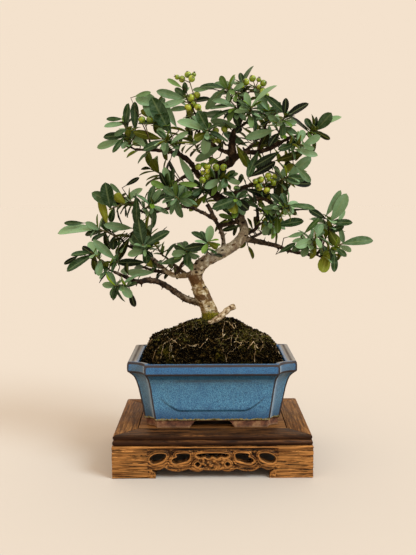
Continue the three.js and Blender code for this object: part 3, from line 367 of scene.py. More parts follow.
panel = bmesh.new()
for reach, low, high in ((0, PANEL_BOTTOM, STAND_HEIGHT), TONGUE):
    board = bmesh.ops.create_cube(panel, size=1)
    half_x = STAND_LENGTH / 2 - RAIL_WIDTH - PANEL_GAP + reach
    half_y = STAND_DEPTH / 2 - RAIL_WIDTH - PANEL_GAP + reach
    bmesh.ops.scale(panel, vec=Vector((2 * half_x, 2 * half_y, high - low)) * MM, verts=board["verts"])
    bmesh.ops.translate(panel, vec=(0, 0, (low + high) / 2 * MM), verts=board["verts"])
ease_edges(panel, RAIL_EASING)
panel_wood = wood_finish("oiled_panel", 0, *TOP_TONES, 0.4, 0.5, PAINTED_SIDE_SHADE, shade_under_pot=True)
add_piece("panel", panel, [panel_wood], ["stand_panel"])

# Stand aprons: four boards of lighter, coarse-grained hardwood, fret-sawn and carved. Each has its two
# half feet, a scalloped lower edge, pierced openings with rounded rims and a carved spray in the middle.
APRON_HEIGHT = 33
APRON_THICKNESS = 9
APRON_OVERHANG = 0.5
FOOT_FRONT = 43.8
FOOT_SIDE = 30
SCALLOPS = [
    (0.99, 5.4, 1.03, 6.9), (1.1, 8.6, 1.06, 9.4), (0.99, 7.6, 0.92, 9), (0.87, 10.2, 0.845, 11.2),
    (0.66, 3.4, 0.425, 9.7), (0.26, 4, 0.165, 8.4), (0.08, 7.8, 0, 8.2),
]
ROUND_HOLE = [(2.6, 0), (0, 2.3), (-2.6, 0), (0, -2.3)]
BEAN_HOLE = [
    (-8.4, 3.2), (-5.8, 5.1), (1.6, 4.9), (6.8, 2), (8.2, -1), (5.8, -4.2), (1.4, -4.6), (-5.4, -1.8),
]
HOOKED_HOLE = [
    (3.8, 4.6), (-7.8, 5.2), (-9.2, 1.6), (-7, -2), (-0.2, -4.1), (5.6, -5), (9, -2.4), (6.6, 0.3),
    (3.4, 1.4),
]
SLOT_HOLE = [
    (-16.5, 1.2), (-8, 2.9), (8, 2.9), (16.5, 1.2), (12.4, -1.6), (8.2, -0.4), (4.4, -2.5), (0, -0.8),
    (-4.4, -2.5), (-8.2, -0.4), (-12.4, -1.6),
]
FRONT_HOLES = [(SLOT_HOLE, 0, 22.8), (ROUND_HOLE, 15, 14.4), (HOOKED_HOLE, 32, 20.4), (BEAN_HOLE, 55, 20.4)]
SIDE_HOLES = [(SLOT_HOLE, 0, 22.8), (ROUND_HOLE, 15, 14.4), (BEAN_HOLE, 31, 20.4)]
CARVED_SHARE = 0.66
CARVING_DEPTH = 2.3
LOWER_RIM_SHARE = 0.62
BEAD_HEIGHT = 31.9
SPRAY_HALF_WIDTH = 13.5
SPRAY_HEIGHTS = (8, 20.5)
CARVING_VOXELS = {"front": 0.55, "right": 0.75, "back": 0.75, "left": 0.75}
ARC_STEPS = 6
HOLE_STEPS = 4


def spline_point(points, at, closed=False):
    """A point on the uniform Catmull-Rom curve through the points, at a place counted in points."""
    count = len(points)
    start = int(math.floor(at))
    if not closed:
        start = min(start, count - 2)
    share = at - start
    p1 = points[start % count]
    p2 = points[(start + 1) % count]
    p0 = points[(start - 1) % count] if closed or start > 0 else 2 * p1 - p2
    p3 = points[(start + 2) % count] if closed or start + 2 < count else 2 * p2 - p1
    t0 = (p2 - p0) * 0.5
    t1 = (p3 - p1) * 0.5
    return (p1 + t0 * share + (-3 * p1 + 3 * p2 - 2 * t0 - t1) * share ** 2
            + (2 * p1 - 2 * p2 + t0 + t1) * share ** 3)


def quadratic(start, control, end):
    """Points after the start of an arc with one control point."""
    shares = [(step + 1) / ARC_STEPS for step in range(ARC_STEPS)]
    return [start * (1 - s) ** 2 + control * 2 * s * (1 - s) + end * s ** 2 for s in shares]


def apron_outline(half, foot):
    span = half - foot
    left = [Vector((-span, 0))]
    for control_x, control_z, end_x, end_z in SCALLOPS:
        left += quadratic(left[-1], Vector((-control_x * span, control_z)), Vector((-end_x * span, end_z)))
    mirrored = [Vector((-point.x, point.y)) for point in reversed(left[:-1])]
    return [Vector((-half, 0)), *left, *mirrored, Vector((half, 0)), Vector((half, APRON_HEIGHT)),
            Vector((-half, APRON_HEIGHT))]


def hole_rings(holes):
    """The closed outline of each opening, right and left."""
    rings = []
    for points, x, z in holes:
        for side in (1,) if x == 0 else (1, -1):
            around = [Vector((side * (x + px), z + pz)) for px, pz in points]
            count = len(around) * HOLE_STEPS
            rings.append([spline_point(around, i / HOLE_STEPS, True) for i in range(count)])
    return rings


def mesh_of(thing):
    """The finished mesh of a curve or of an object with modifiers, whose object is then removed."""
    scene.collection.objects.link(thing)
    graph = bpy.context.evaluated_depsgraph_get()
    mesh = bpy.data.meshes.new_from_object(thing.evaluated_get(graph))
    bpy.data.objects.remove(thing)
    return mesh


def form_of(mesh):
    form = bmesh.new()
    form.from_mesh(mesh)
    return form


def flat_board(outlines, thickness, easing):
    """A board between closed outlines in X and Z, its front on y = 0, with eased edges."""
    curve = bpy.data.curves.new("board", "CURVE")
    curve.dimensions = "2D"
    curve.fill_mode = "BOTH"
    curve.extrude = (thickness / 2 - easing) * MM
    curve.bevel_depth = easing * MM
    curve.bevel_resolution = 2
    curve.offset = -easing * MM
    for outline in outlines:
        spline = curve.splines.new("POLY")
        spline.points.add(len(outline) - 1)
        for point, place in zip(spline.points, outline):
            point.co = (place.x * MM, place.y * MM, 0, 1)
        spline.use_cyclic_u = True
    form = form_of(mesh_of(bpy.data.objects.new("board", curve)))
    bmesh.ops.rotate(form, verts=form.verts, cent=(0, 0, 0), matrix=Matrix.Rotation(math.pi / 2, 3, "X"))
    bmesh.ops.translate(form, verts=form.verts, vec=(0, thickness / 2 * MM, 0))
    bmesh.ops.remove_doubles(form, verts=form.verts, dist=0.01 * MM)
    return form


def tube_mesh(paths, sides=1):
    """Round tubes along paths of points and radii in millimetres, as one mesh."""
    curve = bpy.data.curves.new("tubes", "CURVE")
    curve.dimensions = "3D"
    curve.bevel_depth = MM
    curve.bevel_resolution = sides
    curve.use_fill_caps = True
    for path in paths:
        spline = curve.splines.new("POLY")
        spline.points.add(len(path) - 1)
        for point, (place, radius) in zip(spline.points, path):
            point.co = (*(place * MM), 1)
            point.radius = radius
    return mesh_of(bpy.data.objects.new("tubes", curve))


def remeshed(form, voxel, smoothing=0):
    """The form's pieces fused into one skin."""
    thing = thing_of("skin", form)
    remesh = thing.modifiers.new("fuse", "REMESH")
    remesh.mode = "VOXEL"
    remesh.voxel_size = voxel * MM
    if smoothing:
        soften = thing.modifiers.new("soften", "SMOOTH")
        soften.iterations = smoothing
        soften.factor = 0.5
    return form_of(mesh_of(thing))


def push_out(form, depth_at):
    """Moves each vertex along its normal by the millimetres that depth_at gives for its place."""
    form.normal_update()
    moves = [(vert, vert.normal * depth_at(vert.co / MM, vert.normal) * MM) for vert in form.verts]
    for vert, move in moves:
        vert.co += move


def ridge(distance, middle, half):
    """The height, from 0 to 1, of a rounded ridge across a line."""
    return math.sqrt(max(0.0, 1 - ((distance - middle) / half) ** 2))


def search_tree(points):
    found = KDTree(len(points))
    for index, point in enumerate(points):
        found.insert(point, index)
    found.balance()
    return found


def outline_tree(outlines):
    """The points of closed outlines, close together, to measure distances from."""
    points = []
    for outline in outlines:
        for start, end in zip(outline, outline[1:] + outline[:1]):
            parts = max(1, round((end - start).length))
            points += [start.lerp(end, part / parts) for part in range(parts)]
    return search_tree([Vector((point.x, 0, point.y)) for point in points])


def carved_depth(place, openings, border, zone):
    """How far the carving lies behind the board's face: double rims round the openings and a bead along both
    edges stand up from a pitted ground, with coral-like buds in the middle, and plain wood at both ends."""
    spot = Vector((place.x, 0, place.z))
    near, _, distance = openings.find(spot)
    is_below = place.z < near.z - 0.4 * abs(place.x - near.x)
    reach = distance * (LOWER_RIM_SHARE if is_below else 1)
    _, _, from_border = border.find(spot)
    height = max(ridge(reach, 0.8, 1.1), 0.92 * ridge(reach, 2.5, 1.0), 0.9 * ridge(from_border, 0.9, 1.3))
    ground = 0.36 + 0.52 * min(1, max(0, (distance - 4.2) / 3.2))
    height = max(height, ground + 0.26 * noise.noise(place * 0.55) + 0.3 * noise.noise(place * 1.2))
    low, high = SPRAY_HEIGHTS
    jag = 1.6 * noise.noise(Vector((place.x * 0.5, 0, 5)))
    if abs(place.x) < SPRAY_HALF_WIDTH and low < place.z < high + jag and from_border > 1.2:
        bud = noise.voronoi(spot * 0.36)[0][0]
        height = max(ridge(reach, 0.5, 0.9), 0.42 + 0.58 * ridge(bud, 0, 0.75))
    bead = ridge(place.z, BEAD_HEIGHT, 1.3)
    height = max(bead, height * min(1, 0.3 + max(0, (29.8 - place.z) / 0.8)))
    plain = 0.9 + 0.26 * noise.noise(Vector((place.x * 0.035, 3, place.z * 1.1)))
    plain = max(plain, bead) if place.z > BEAD_HEIGHT - 1.6 else plain
    inside = min(1, max(0, (zone - abs(place.x)) / 5))
    return CARVING_DEPTH * (1 - min(1, height * inside + plain * (1 - inside)))


def carved_apron(length, foot, holes, voxel):
    """The apron along X with its face on y = 0, before the mitres."""
    half = length / 2 + APRON_OVERHANG
    rings = hole_rings(holes)
    outline = apron_outline(half + 2, foot + 2)
    skin = remeshed(flat_board([outline, *rings], APRON_THICKNESS, 0.4), voxel, 1)
    openings = outline_tree(rings)
    border = outline_tree([outline])
    skin.normal_update()
    relief = skin.verts.layers.float.new("relief")
    moves = []
    for vert in skin.verts:
        facing = min(1, max(0, (-vert.normal.y - 0.2) / 0.5))
        depth = carved_depth(vert.co / MM, openings, border, half * CARVED_SHARE) if facing > 0 else 0
        vert[relief] = 1 - depth / CARVING_DEPTH * facing if facing > 0 else 0.55
        moves.append(depth * facing)
    for vert, move in zip(skin.verts, moves):
        vert.co.y = max(0, vert.co.y + move * MM)
    return skin


FRET_TONES = ((28, 12, 3), (96, 54, 19), (186, 128, 68))
for side, length, turn, distance in SIDES:
    is_long = length == STAND_LENGTH
    foot, holes = (FOOT_FRONT, FRONT_HOLES) if is_long else (FOOT_SIDE, SIDE_HOLES)
    apron = carved_apron(length, foot, holes, CARVING_VOXELS[side])
    bmesh.ops.translate(apron, verts=apron.verts, vec=(0, -(APRON_OVERHANG + distance) * MM, 0))
    mitre(apron, length / 2 + APRON_OVERHANG, -APRON_OVERHANG - distance)
    cut_away(apron, Vector((0, 0, 0)), Vector((0, 0, -1)))
    cut_away(apron, Vector((0, 0, APRON_HEIGHT * MM - 0.02 * MM)), Vector((0, 0, 1)))
    turn_about_z(apron, turn)
    fret_wood = wood_finish(f"fret_wood_{side}", turn, *FRET_TONES, 1.0, 0.5, carved=True)
    add_piece(f"apron_{side}", apron, [fret_wood], [f"stand_apron_{side}"], crease=50)

# Pot: one piece of stoneware, slab built, with coved corners, a flared wall and a square lip. The blue
# glaze breaks brown on every arris and stops short of the foot in a pale fringe.
POT_LEVELS = [
    (51, 69.2, 42.5, 11.4, 10.5), (53, 70.6, 44, 11.4, 10.5), (64, 72.4, 45, 11.8, 11),
    (75, 74.5, 46.3, 12.4, 11.5), (85, 76.4, 48, 13.2, 12), (92, 78.3, 49.8, 14, 12.5),
    (97, 80.3, 52, 15, 13.2), (100, 82.8, 54.8, 16.4, 14.3), (103, 86.2, 58.5, 18.8, 15.8),
]
LIP_LEVELS = [
    (103.0, 86.2, 58.5, 18.8, 15.8), (103.5, 86.7, 59.0, 19, 16), (104.8, 86.9, 59.2, 19, 16),
    (107.5, 87, 59.3, 19, 16), (110.4, 86.9, 59.2, 19, 16), (112.2, 86.6, 58.9, 19, 16),
    (113.2, 86.1, 58.4, 18.8, 15.8), (113.8, 85.3, 57.7, 18.3, 15.4), (113.9, 84.3, 56.9, 17.5, 14.8),
    (113.5, 81.3, 55, 15.4, 13.1), (113.3, 78, 53, 13, 11.2), (112.7, 75.7, 51.8, 12.2, 10.2),
    (111.5, 74.9, 51.2, 12, 10),
]
HOLLOW_LEVELS = [
    (106, 74.5, 50.5, 12, 10), (98, 73, 46, 12, 10), (80, 68, 40, 10.5, 9.5), (60, 64.5, 37.5, 10, 9),
]
LIP_BOTTOM = 103
RIM_HEIGHT = 114
POT_FLOOR = 60
DRAIN_X = 30
DRAIN_RADIUS = 7
COVE_PLACES = [0.02, 0.05, 0.09, 0.15, 0.23, 0.32, 0.41, 0.5, 0.59, 0.68, 0.77, 0.85, 0.91, 0.95, 0.98]
ARRIS_PLACES = [0.35, 0.9, 1.7]
WALL_STEP = 0.95
FACE_STEP = 1.3
FOOT_OUTSIDE = (68.6, 42.2, 11.4, 10.5)
FOOT_INSIDE = (60.9, 34.5, 8, 7)
FOOT_SPANS = ((48.5, 0), (34, math.pi / 2))
FOOT_SPAN_HEIGHTS = (43, 53)
FOOT_SLOPE = 8
CARTOUCHE_RISE = 0.8
CARTOUCHE_BOTTOM = 62.8
CARTOUCHE_TOP = 95
CARTOUCHE_FLAT = 33
CARTOUCHE_ENDS = (38, 56)


def side_shares(half, steps):
    """Places along a straight side, close together next to its two arrises."""
    inner = half - ARRIS_PLACES[-1]
    middle = [inner * (2 * i / steps - 1) for i in range(steps + 1)]
    near = [0, *ARRIS_PLACES[:-1]]
    return [place - half for place in near] + middle + [half - place for place in reversed(near)]


def coved_ring(height, half_x, half_y, cove_x, cove_y, face_step=FACE_STEP):
    """A rectangle whose corners are cut in along a quarter ellipse, anticlockwise from the right side."""
    ring = []
    along_y = side_shares(half_y - cove_y, round(2 * 30 / face_step))
    along_x = side_shares(half_x - cove_x, round(2 * 56 / face_step))
    coves = [(math.sin(math.pi / 2 * share), math.cos(math.pi / 2 * share)) for share in COVE_PLACES]
    for way in (1, -1):
        ring += [(way * half_x, way * y) for y in along_y]
        ring += [(way * (half_x - cove_x * near), way * (half_y - cove_y * far)) for near, far in coves]
        ring += [(-way * x, way * half_y) for x in along_x]
        ring += [(-way * (half_x - cove_x * far), way * (half_y - cove_y * near)) for near, far in coves]
    return [Vector((x, y, height)) for x, y in ring]


def lofted(rings):
    """A skin over closed rings of points in millimetres, with flat ends."""
    form = bmesh.new()
    loops = []
    for ring in rings:
        verts = [form.verts.new(point * MM) for point in ring]
        loops.append([form.edges.new((a, b)) for a, b in zip(verts, verts[1:] + verts[:1])])
    for low, high in zip(loops, loops[1:]):
        bmesh.ops.bridge_loops(form, edges=low + high)
    bmesh.ops.holes_fill(form, edges=loops[0] + loops[-1], sides=0)
    bmesh.ops.recalc_face_normals(form, faces=form.faces)
    return form


def level_at(levels, height):
    """The values of a list of levels at a height, on a smooth curve through them."""
    heights = [level[0] for level in levels]
    index = max(i for i, low in enumerate(heights[:-1]) if low <= height + 1e-9)
    share = (height - heights[index]) / (heights[index + 1] - heights[index])
    rows = [np.array(level[1:], float) for level in levels]
    return (height, *spline_point(rows, index + share))


wall_heights = [51, 51.5, 52.2, 53] + [53 + WALL_STEP * (i + 1) for i in range(52)]
pot_rings = [coved_ring(*level_at(POT_LEVELS, height)) for height in wall_heights]
pot_rings += [coved_ring(*level) for level in LIP_LEVELS + HOLLOW_LEVELS]


def cartouche_steps(place, normal):
    """How far a place on a long face lies above the raised panel's lower line and below its upper one, in
    millimetres, and how clearly the painted shade along each of the two lines shows there. Both fade towards
    the ends."""
    if abs(normal.y) < 0.7 or not 56 < place.z < 99 or abs(place.y) < 43:
        return None
    x = abs(place.x)
    lower = CARTOUCHE_BOTTOM + max(0, x - CARTOUCHE_FLAT) ** 1.45 * 0.175
    near, far = CARTOUCHE_ENDS
    clear = min(1, max(0, (far - x) / 6))
    return place.z - lower, CARTOUCHE_TOP - place.z, clear, min(1, max(0, (near + 3 - x) / 6))


def eased(share):
    share = min(1, max(0, share))
    return share * share * (3 - 2 * share)


def cartouche_rise(place, normal):
    """The raised panel on the two long faces: a soft step along its bottom and its top."""
    steps = cartouche_steps(place, normal)
    if steps is None:
        return 0.0
    above, below, _, _ = steps
    fade = eased((CARTOUCHE_ENDS[1] + 2 - abs(place.x)) / 20)
    return CARTOUCHE_RISE * fade * eased(above / 1.5 + 0.5) * eased(below / 1.5 + 0.5)


pot = lofted(pot_rings)
push_out(pot, cartouche_rise)


def wedge(length, turn):
    """The gap between two feet along one side, wider at the ground."""
    form = bmesh.new()
    bmesh.ops.create_cube(form, size=1)
    for vert in form.verts:
        is_top = vert.co.z > 0
        half = length / 2 - (FOOT_SLOPE if is_top else 0)
        vert.co = Vector((math.copysign(half, vert.co.x), vert.co.y * 200, FOOT_SPAN_HEIGHTS[is_top])) * MM
    turn_about_z(form, turn)
    return form


def combined(base, others, operation):
    """A base form joined with or cut by other forms."""
    thing = thing_of("base", base)
    tools = []
    for other in others:
        tool = thing_of("tool", other)
        scene.collection.objects.link(tool)
        tools.append(tool)
        step = thing.modifiers.new("step", "BOOLEAN")
        step.operation = operation
        step.solver = "EXACT"
        step.object = tool
    result = form_of(mesh_of(thing))
    for tool in tools:
        bpy.data.objects.remove(tool)
    return result


def round_bar(radius, low, high, x):
    form = bmesh.new()
    bmesh.ops.create_cone(form, cap_ends=True, segments=40, radius1=radius * MM, radius2=radius * MM,
                          depth=(high - low) * MM)
    bmesh.ops.translate(form, vec=Vector((x, 0, (low + high) / 2)) * MM, verts=form.verts)
    return form


foot_ring = lofted([coved_ring(height, *FOOT_OUTSIDE) for height in (44, 44.6, 51.5)])
foot_core = lofted([coved_ring(height, *FOOT_INSIDE) for height in (42, 54)])
feet = combined(foot_ring, [foot_core, *(wedge(*span) for span in FOOT_SPANS)], "DIFFERENCE")
ease_edges(feet, 0.5, least=0.7)
drains = [round_bar(DRAIN_RADIUS, 40, POT_FLOOR + 2, side * DRAIN_X) for side in (-1, 1)]
pot = combined(pot, drains, "DIFFERENCE")


def mark(form, name, value_at):
    """A named value from 0 to 1 on each vertex, from its place in millimetres and its normal."""
    form.normal_update()
    layer = form.verts.layers.float.new(name)
    for vert in form.verts:
        vert[layer] = value_at(vert.co / MM, vert.normal)


ARRIS_LINE = 1.5


def arris_share(place, normal):
    """1 on the pot's arrises and 0 away from them."""
    if place.z > RIM_HEIGHT - 0.3 and abs(normal.z) > 0.8:
        return 0.0
    level = level_at(POT_LEVELS, place.z) if place.z < LIP_BOTTOM else LIP_LEVELS[2]
    x, y = abs(place.x), abs(place.y)
    half_x, half_y, cove_x, cove_y = level[1:]
    if x < half_x - 26 and y < half_y - 6 or x < half_x - 6 and y < half_y - 22:
        return 0.0
    upright = min(math.hypot(x - half_x + cove_x, y - half_y), math.hypot(x - half_x, y - half_y + cove_y))
    level_line = min(abs(place.z - LIP_BOTTOM - 0.1) * 1.3, abs(place.z - RIM_HEIGHT + 1.3) * 1.5)
    on_lip = place.z > LIP_BOTTOM - 1.5 and (x > 80 or y > 55 or math.hypot(x - half_x, y - half_y) < 20)
    distance = min(upright, level_line) if on_lip else upright
    return math.exp(-(distance / ARRIS_LINE) ** 2)


def cove_and_glint_share(place, normal):
    """A half in the cut-in corners, which are greyer, and 1 in the streak of painted highlight by the front
    arris.
    """
    level = level_at(POT_LEVELS, place.z) if place.z < LIP_BOTTOM else LIP_LEVELS[2]
    inside = abs(place.x) > level[1] - level[3] + 0.2 and abs(place.y) > level[2] - level[4] + 0.2
    from_arris = math.hypot(abs(place.x) - level[1] + level[3], abs(place.y) - level[2])
    return 0.5 + 0.5 * math.exp(-((from_arris - 4.4) / 2.6) ** 2) if inside else 0.0


def panel_edge_shade_share(place, normal):
    """1 in the dark lines of painted shade along the lower and upper edges of the raised panel on each long
    face.
    """
    steps = cartouche_steps(place, normal)
    if steps is None:
        return 0.0
    above, below, clear_low, clear_high = steps
    low_line = clear_low * math.exp(-((above + 0.3) / 0.95) ** 2)
    return max(low_line, clear_high * math.exp(-((below + 0.2) / 1.1) ** 2))


mark(pot, "arris", arris_share)
mark(pot, "cove_glint", cove_and_glint_share)
# The "line" attribute holds the painted shade along the raised panel's edges.
mark(pot, "line", panel_edge_shade_share)


def glaze_finish():
    """Blue glaze: fine mottle, darker towards the bottom, a painted shadow under the lip, greyer in the coves
    with a painted highlight streak by each front arris, painted shade along the raised panel's edges, a
    painted sky reflection as pale grey on the short rims' tops, brown where it breaks over an arris, and a
    pale fringe above the bare clay."""
    finish, tree, shader = new_finish("blue_glaze")
    place = object_place(tree)
    fine = grain(tree, place, 1250, 2, 0.7)
    broad = grain(tree, place, 70, 4, 0.65)
    runs = grain(tree, stretched(tree, (260, 260, 40)), 1.0, 3, 0.6, 0.4)
    mottled = ramp(tree, fine, [(0.36, (22, 60, 94)), (0.47, (48, 106, 146)), (0.6, (88, 150, 186))])
    clouded = blend(tree, ramp(tree, broad, [(0.42, 0), (0.7, 0.5)]), mottled, (30, 80, 126))
    streaky = blend(tree, ramp(tree, runs, [(0.5, 0), (0.72, 0.35)]), clouded, (84, 138, 164))
    height = part_of(tree, place, "Z")
    darker_low = blend(tree, product(tree, between(tree, height, 68, 56), 0.7), streaky, (26, 62, 104))
    # Painted shadow: a darker band under the lip.
    painted_shadow_under_lip = product(tree, between(tree, height, 90, 101), between(tree, height, 103.2, 102.6))
    shaded = blend(tree, product(tree, painted_shadow_under_lip, 0.8), darker_low, (24, 52, 68))
    lip = blend(tree, product(tree, between(tree, height, 102.8, 103.4), 0.6), shaded,
                ramp(tree, fine, [(0.4, (4, 34, 76)), (0.54, (14, 82, 138))]))
    cove_glint = named(tree, "cove_glint")
    coved = blend(tree, ramp(tree, cove_glint, [(0.0, 0), (0.5, 0.55)]), lip, (72, 92, 104))
    # Painted highlight: a pale streak in each cove beside its front arris.
    glinting = blend(tree, ramp(tree, cove_glint, [(0.55, 0), (1.0, 0.75)]), coved, (160, 172, 182))
    # Painted shade: dark lines along the raised panel's lower and upper edges.
    panel_edge_shaded = blend(tree, product(tree, named(tree, "line"), ramp(tree, broad, [(0.3, 0.4), (0.6, 0.8)])),
                  glinting, (22, 34, 44))
    # Painted reflection: the short rims' flat tops are mixed to a pale grey, as the sky shows in them.
    on_top = spread(tree, upward_share(tree), 0.7, 0.95)
    from_middle = maths(tree, "ABSOLUTE", part_of(tree, place, "Y"))
    on_short_rim = product(tree, between(tree, height, 113.0, 113.35), between(tree, from_middle, 56, 51))
    flat_top = product(tree, on_top, on_short_rim)
    painted_rim_reflection = blend(tree, flat_top, panel_edge_shaded, blend(tree, broad, (104, 104, 104), (142, 134, 124)))
    breaking = product(tree, named(tree, "arris"), ramp(tree, broad, [(0.2, 0.85), (0.8, 1.5)]), True)
    browned = blend(tree, ramp(tree, breaking, [(0.22, 0), (0.6, 0.96)]), painted_rim_reflection,
                    blend(tree, runs, (14, 8, 5), (54, 30, 16)))
    edge_noise = grain(tree, place, 330, 4, 0.7)
    fringe = between(tree, maths(tree, "MULTIPLY_ADD", edge_noise, 9.5 * MM, height), 58.9, 58.3)
    bare = between(tree, height, 52.3, 51.9)
    fringed = blend(tree, fringe, browned, ramp(tree, edge_noise, [(0.4, (76, 66, 32)), (0.5, (164, 152, 96)),
                                                                   (0.6, (214, 204, 156))]))
    colour = blend(tree, bare, fringed, blend(tree, broad, (58, 30, 18), (104, 66, 42)))
    gloss = blend(tree, flat_top, ramp(tree, broad, [(0.3, 0.16), (0.8, 0.34)]), 0.75)
    tree.links.new(blend(tree, bare, blend(tree, breaking, gloss, 0.7), 0.85), shader.inputs["Roughness"])
    dress(tree, shader, colour, blend(tree, 0.6, fine, broad), 0.3, 0.35)
    return finish


def clay_finish():
    """Bare stoneware: reddish brown, worn pale at the ground and in patches, with dark specks."""
    finish, tree, shader = new_finish("bare_clay", 0.85)
    place = object_place(tree)
    patches = grain(tree, place, 150, 4, 0.65)
    specks = grain(tree, place, 900, 3, 0.7)
    height = part_of(tree, place, "Z")
    body = ramp(tree, patches, [(0.34, (58, 28, 16)), (0.52, (110, 66, 42)), (0.66, (148, 110, 76))])
    worn = blend(tree, product(tree, between(tree, height, 46.5, 44.4), patches), body, (140, 112, 84))
    colour = blend(tree, ramp(tree, specks, [(0.3, 0.7), (0.46, 0)]), worn, (34, 18, 12))
    dress(tree, shader, colour, specks, 0.6, 0.35)
    return finish


add_piece("pot_body", pot, [glaze_finish()], ["pot"], crease=32)
add_piece("pot_feet", feet, [clay_finish()], ["pot"])

# Drain mesh: a woven plastic net over each drain hole, hidden under the soil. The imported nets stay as
# they are, in a dull black plastic with a little dust on it.
def plain_finish(name, scale, detail, rough, stops):
    """A skin of one noise, which gives its tones and a faint relief."""
    finish, tree, shader = new_finish(name, rough)
    tone = grain(tree, object_place(tree), scale, detail, 0.6)
    dress(tree, shader, ramp(tree, tone, stops), tone, 0.3, 0.2)
    return finish


net_finish = plain_finish("drain_net", 400, 4, 0.6, [(0.4, (30, 31, 32)), (0.8, (84, 76, 64))])
for side in ("left", "right"):
    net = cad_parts[f"drain_mesh_{side}"]
    net.data.materials.clear()
    net.data.materials.append(net_finish)

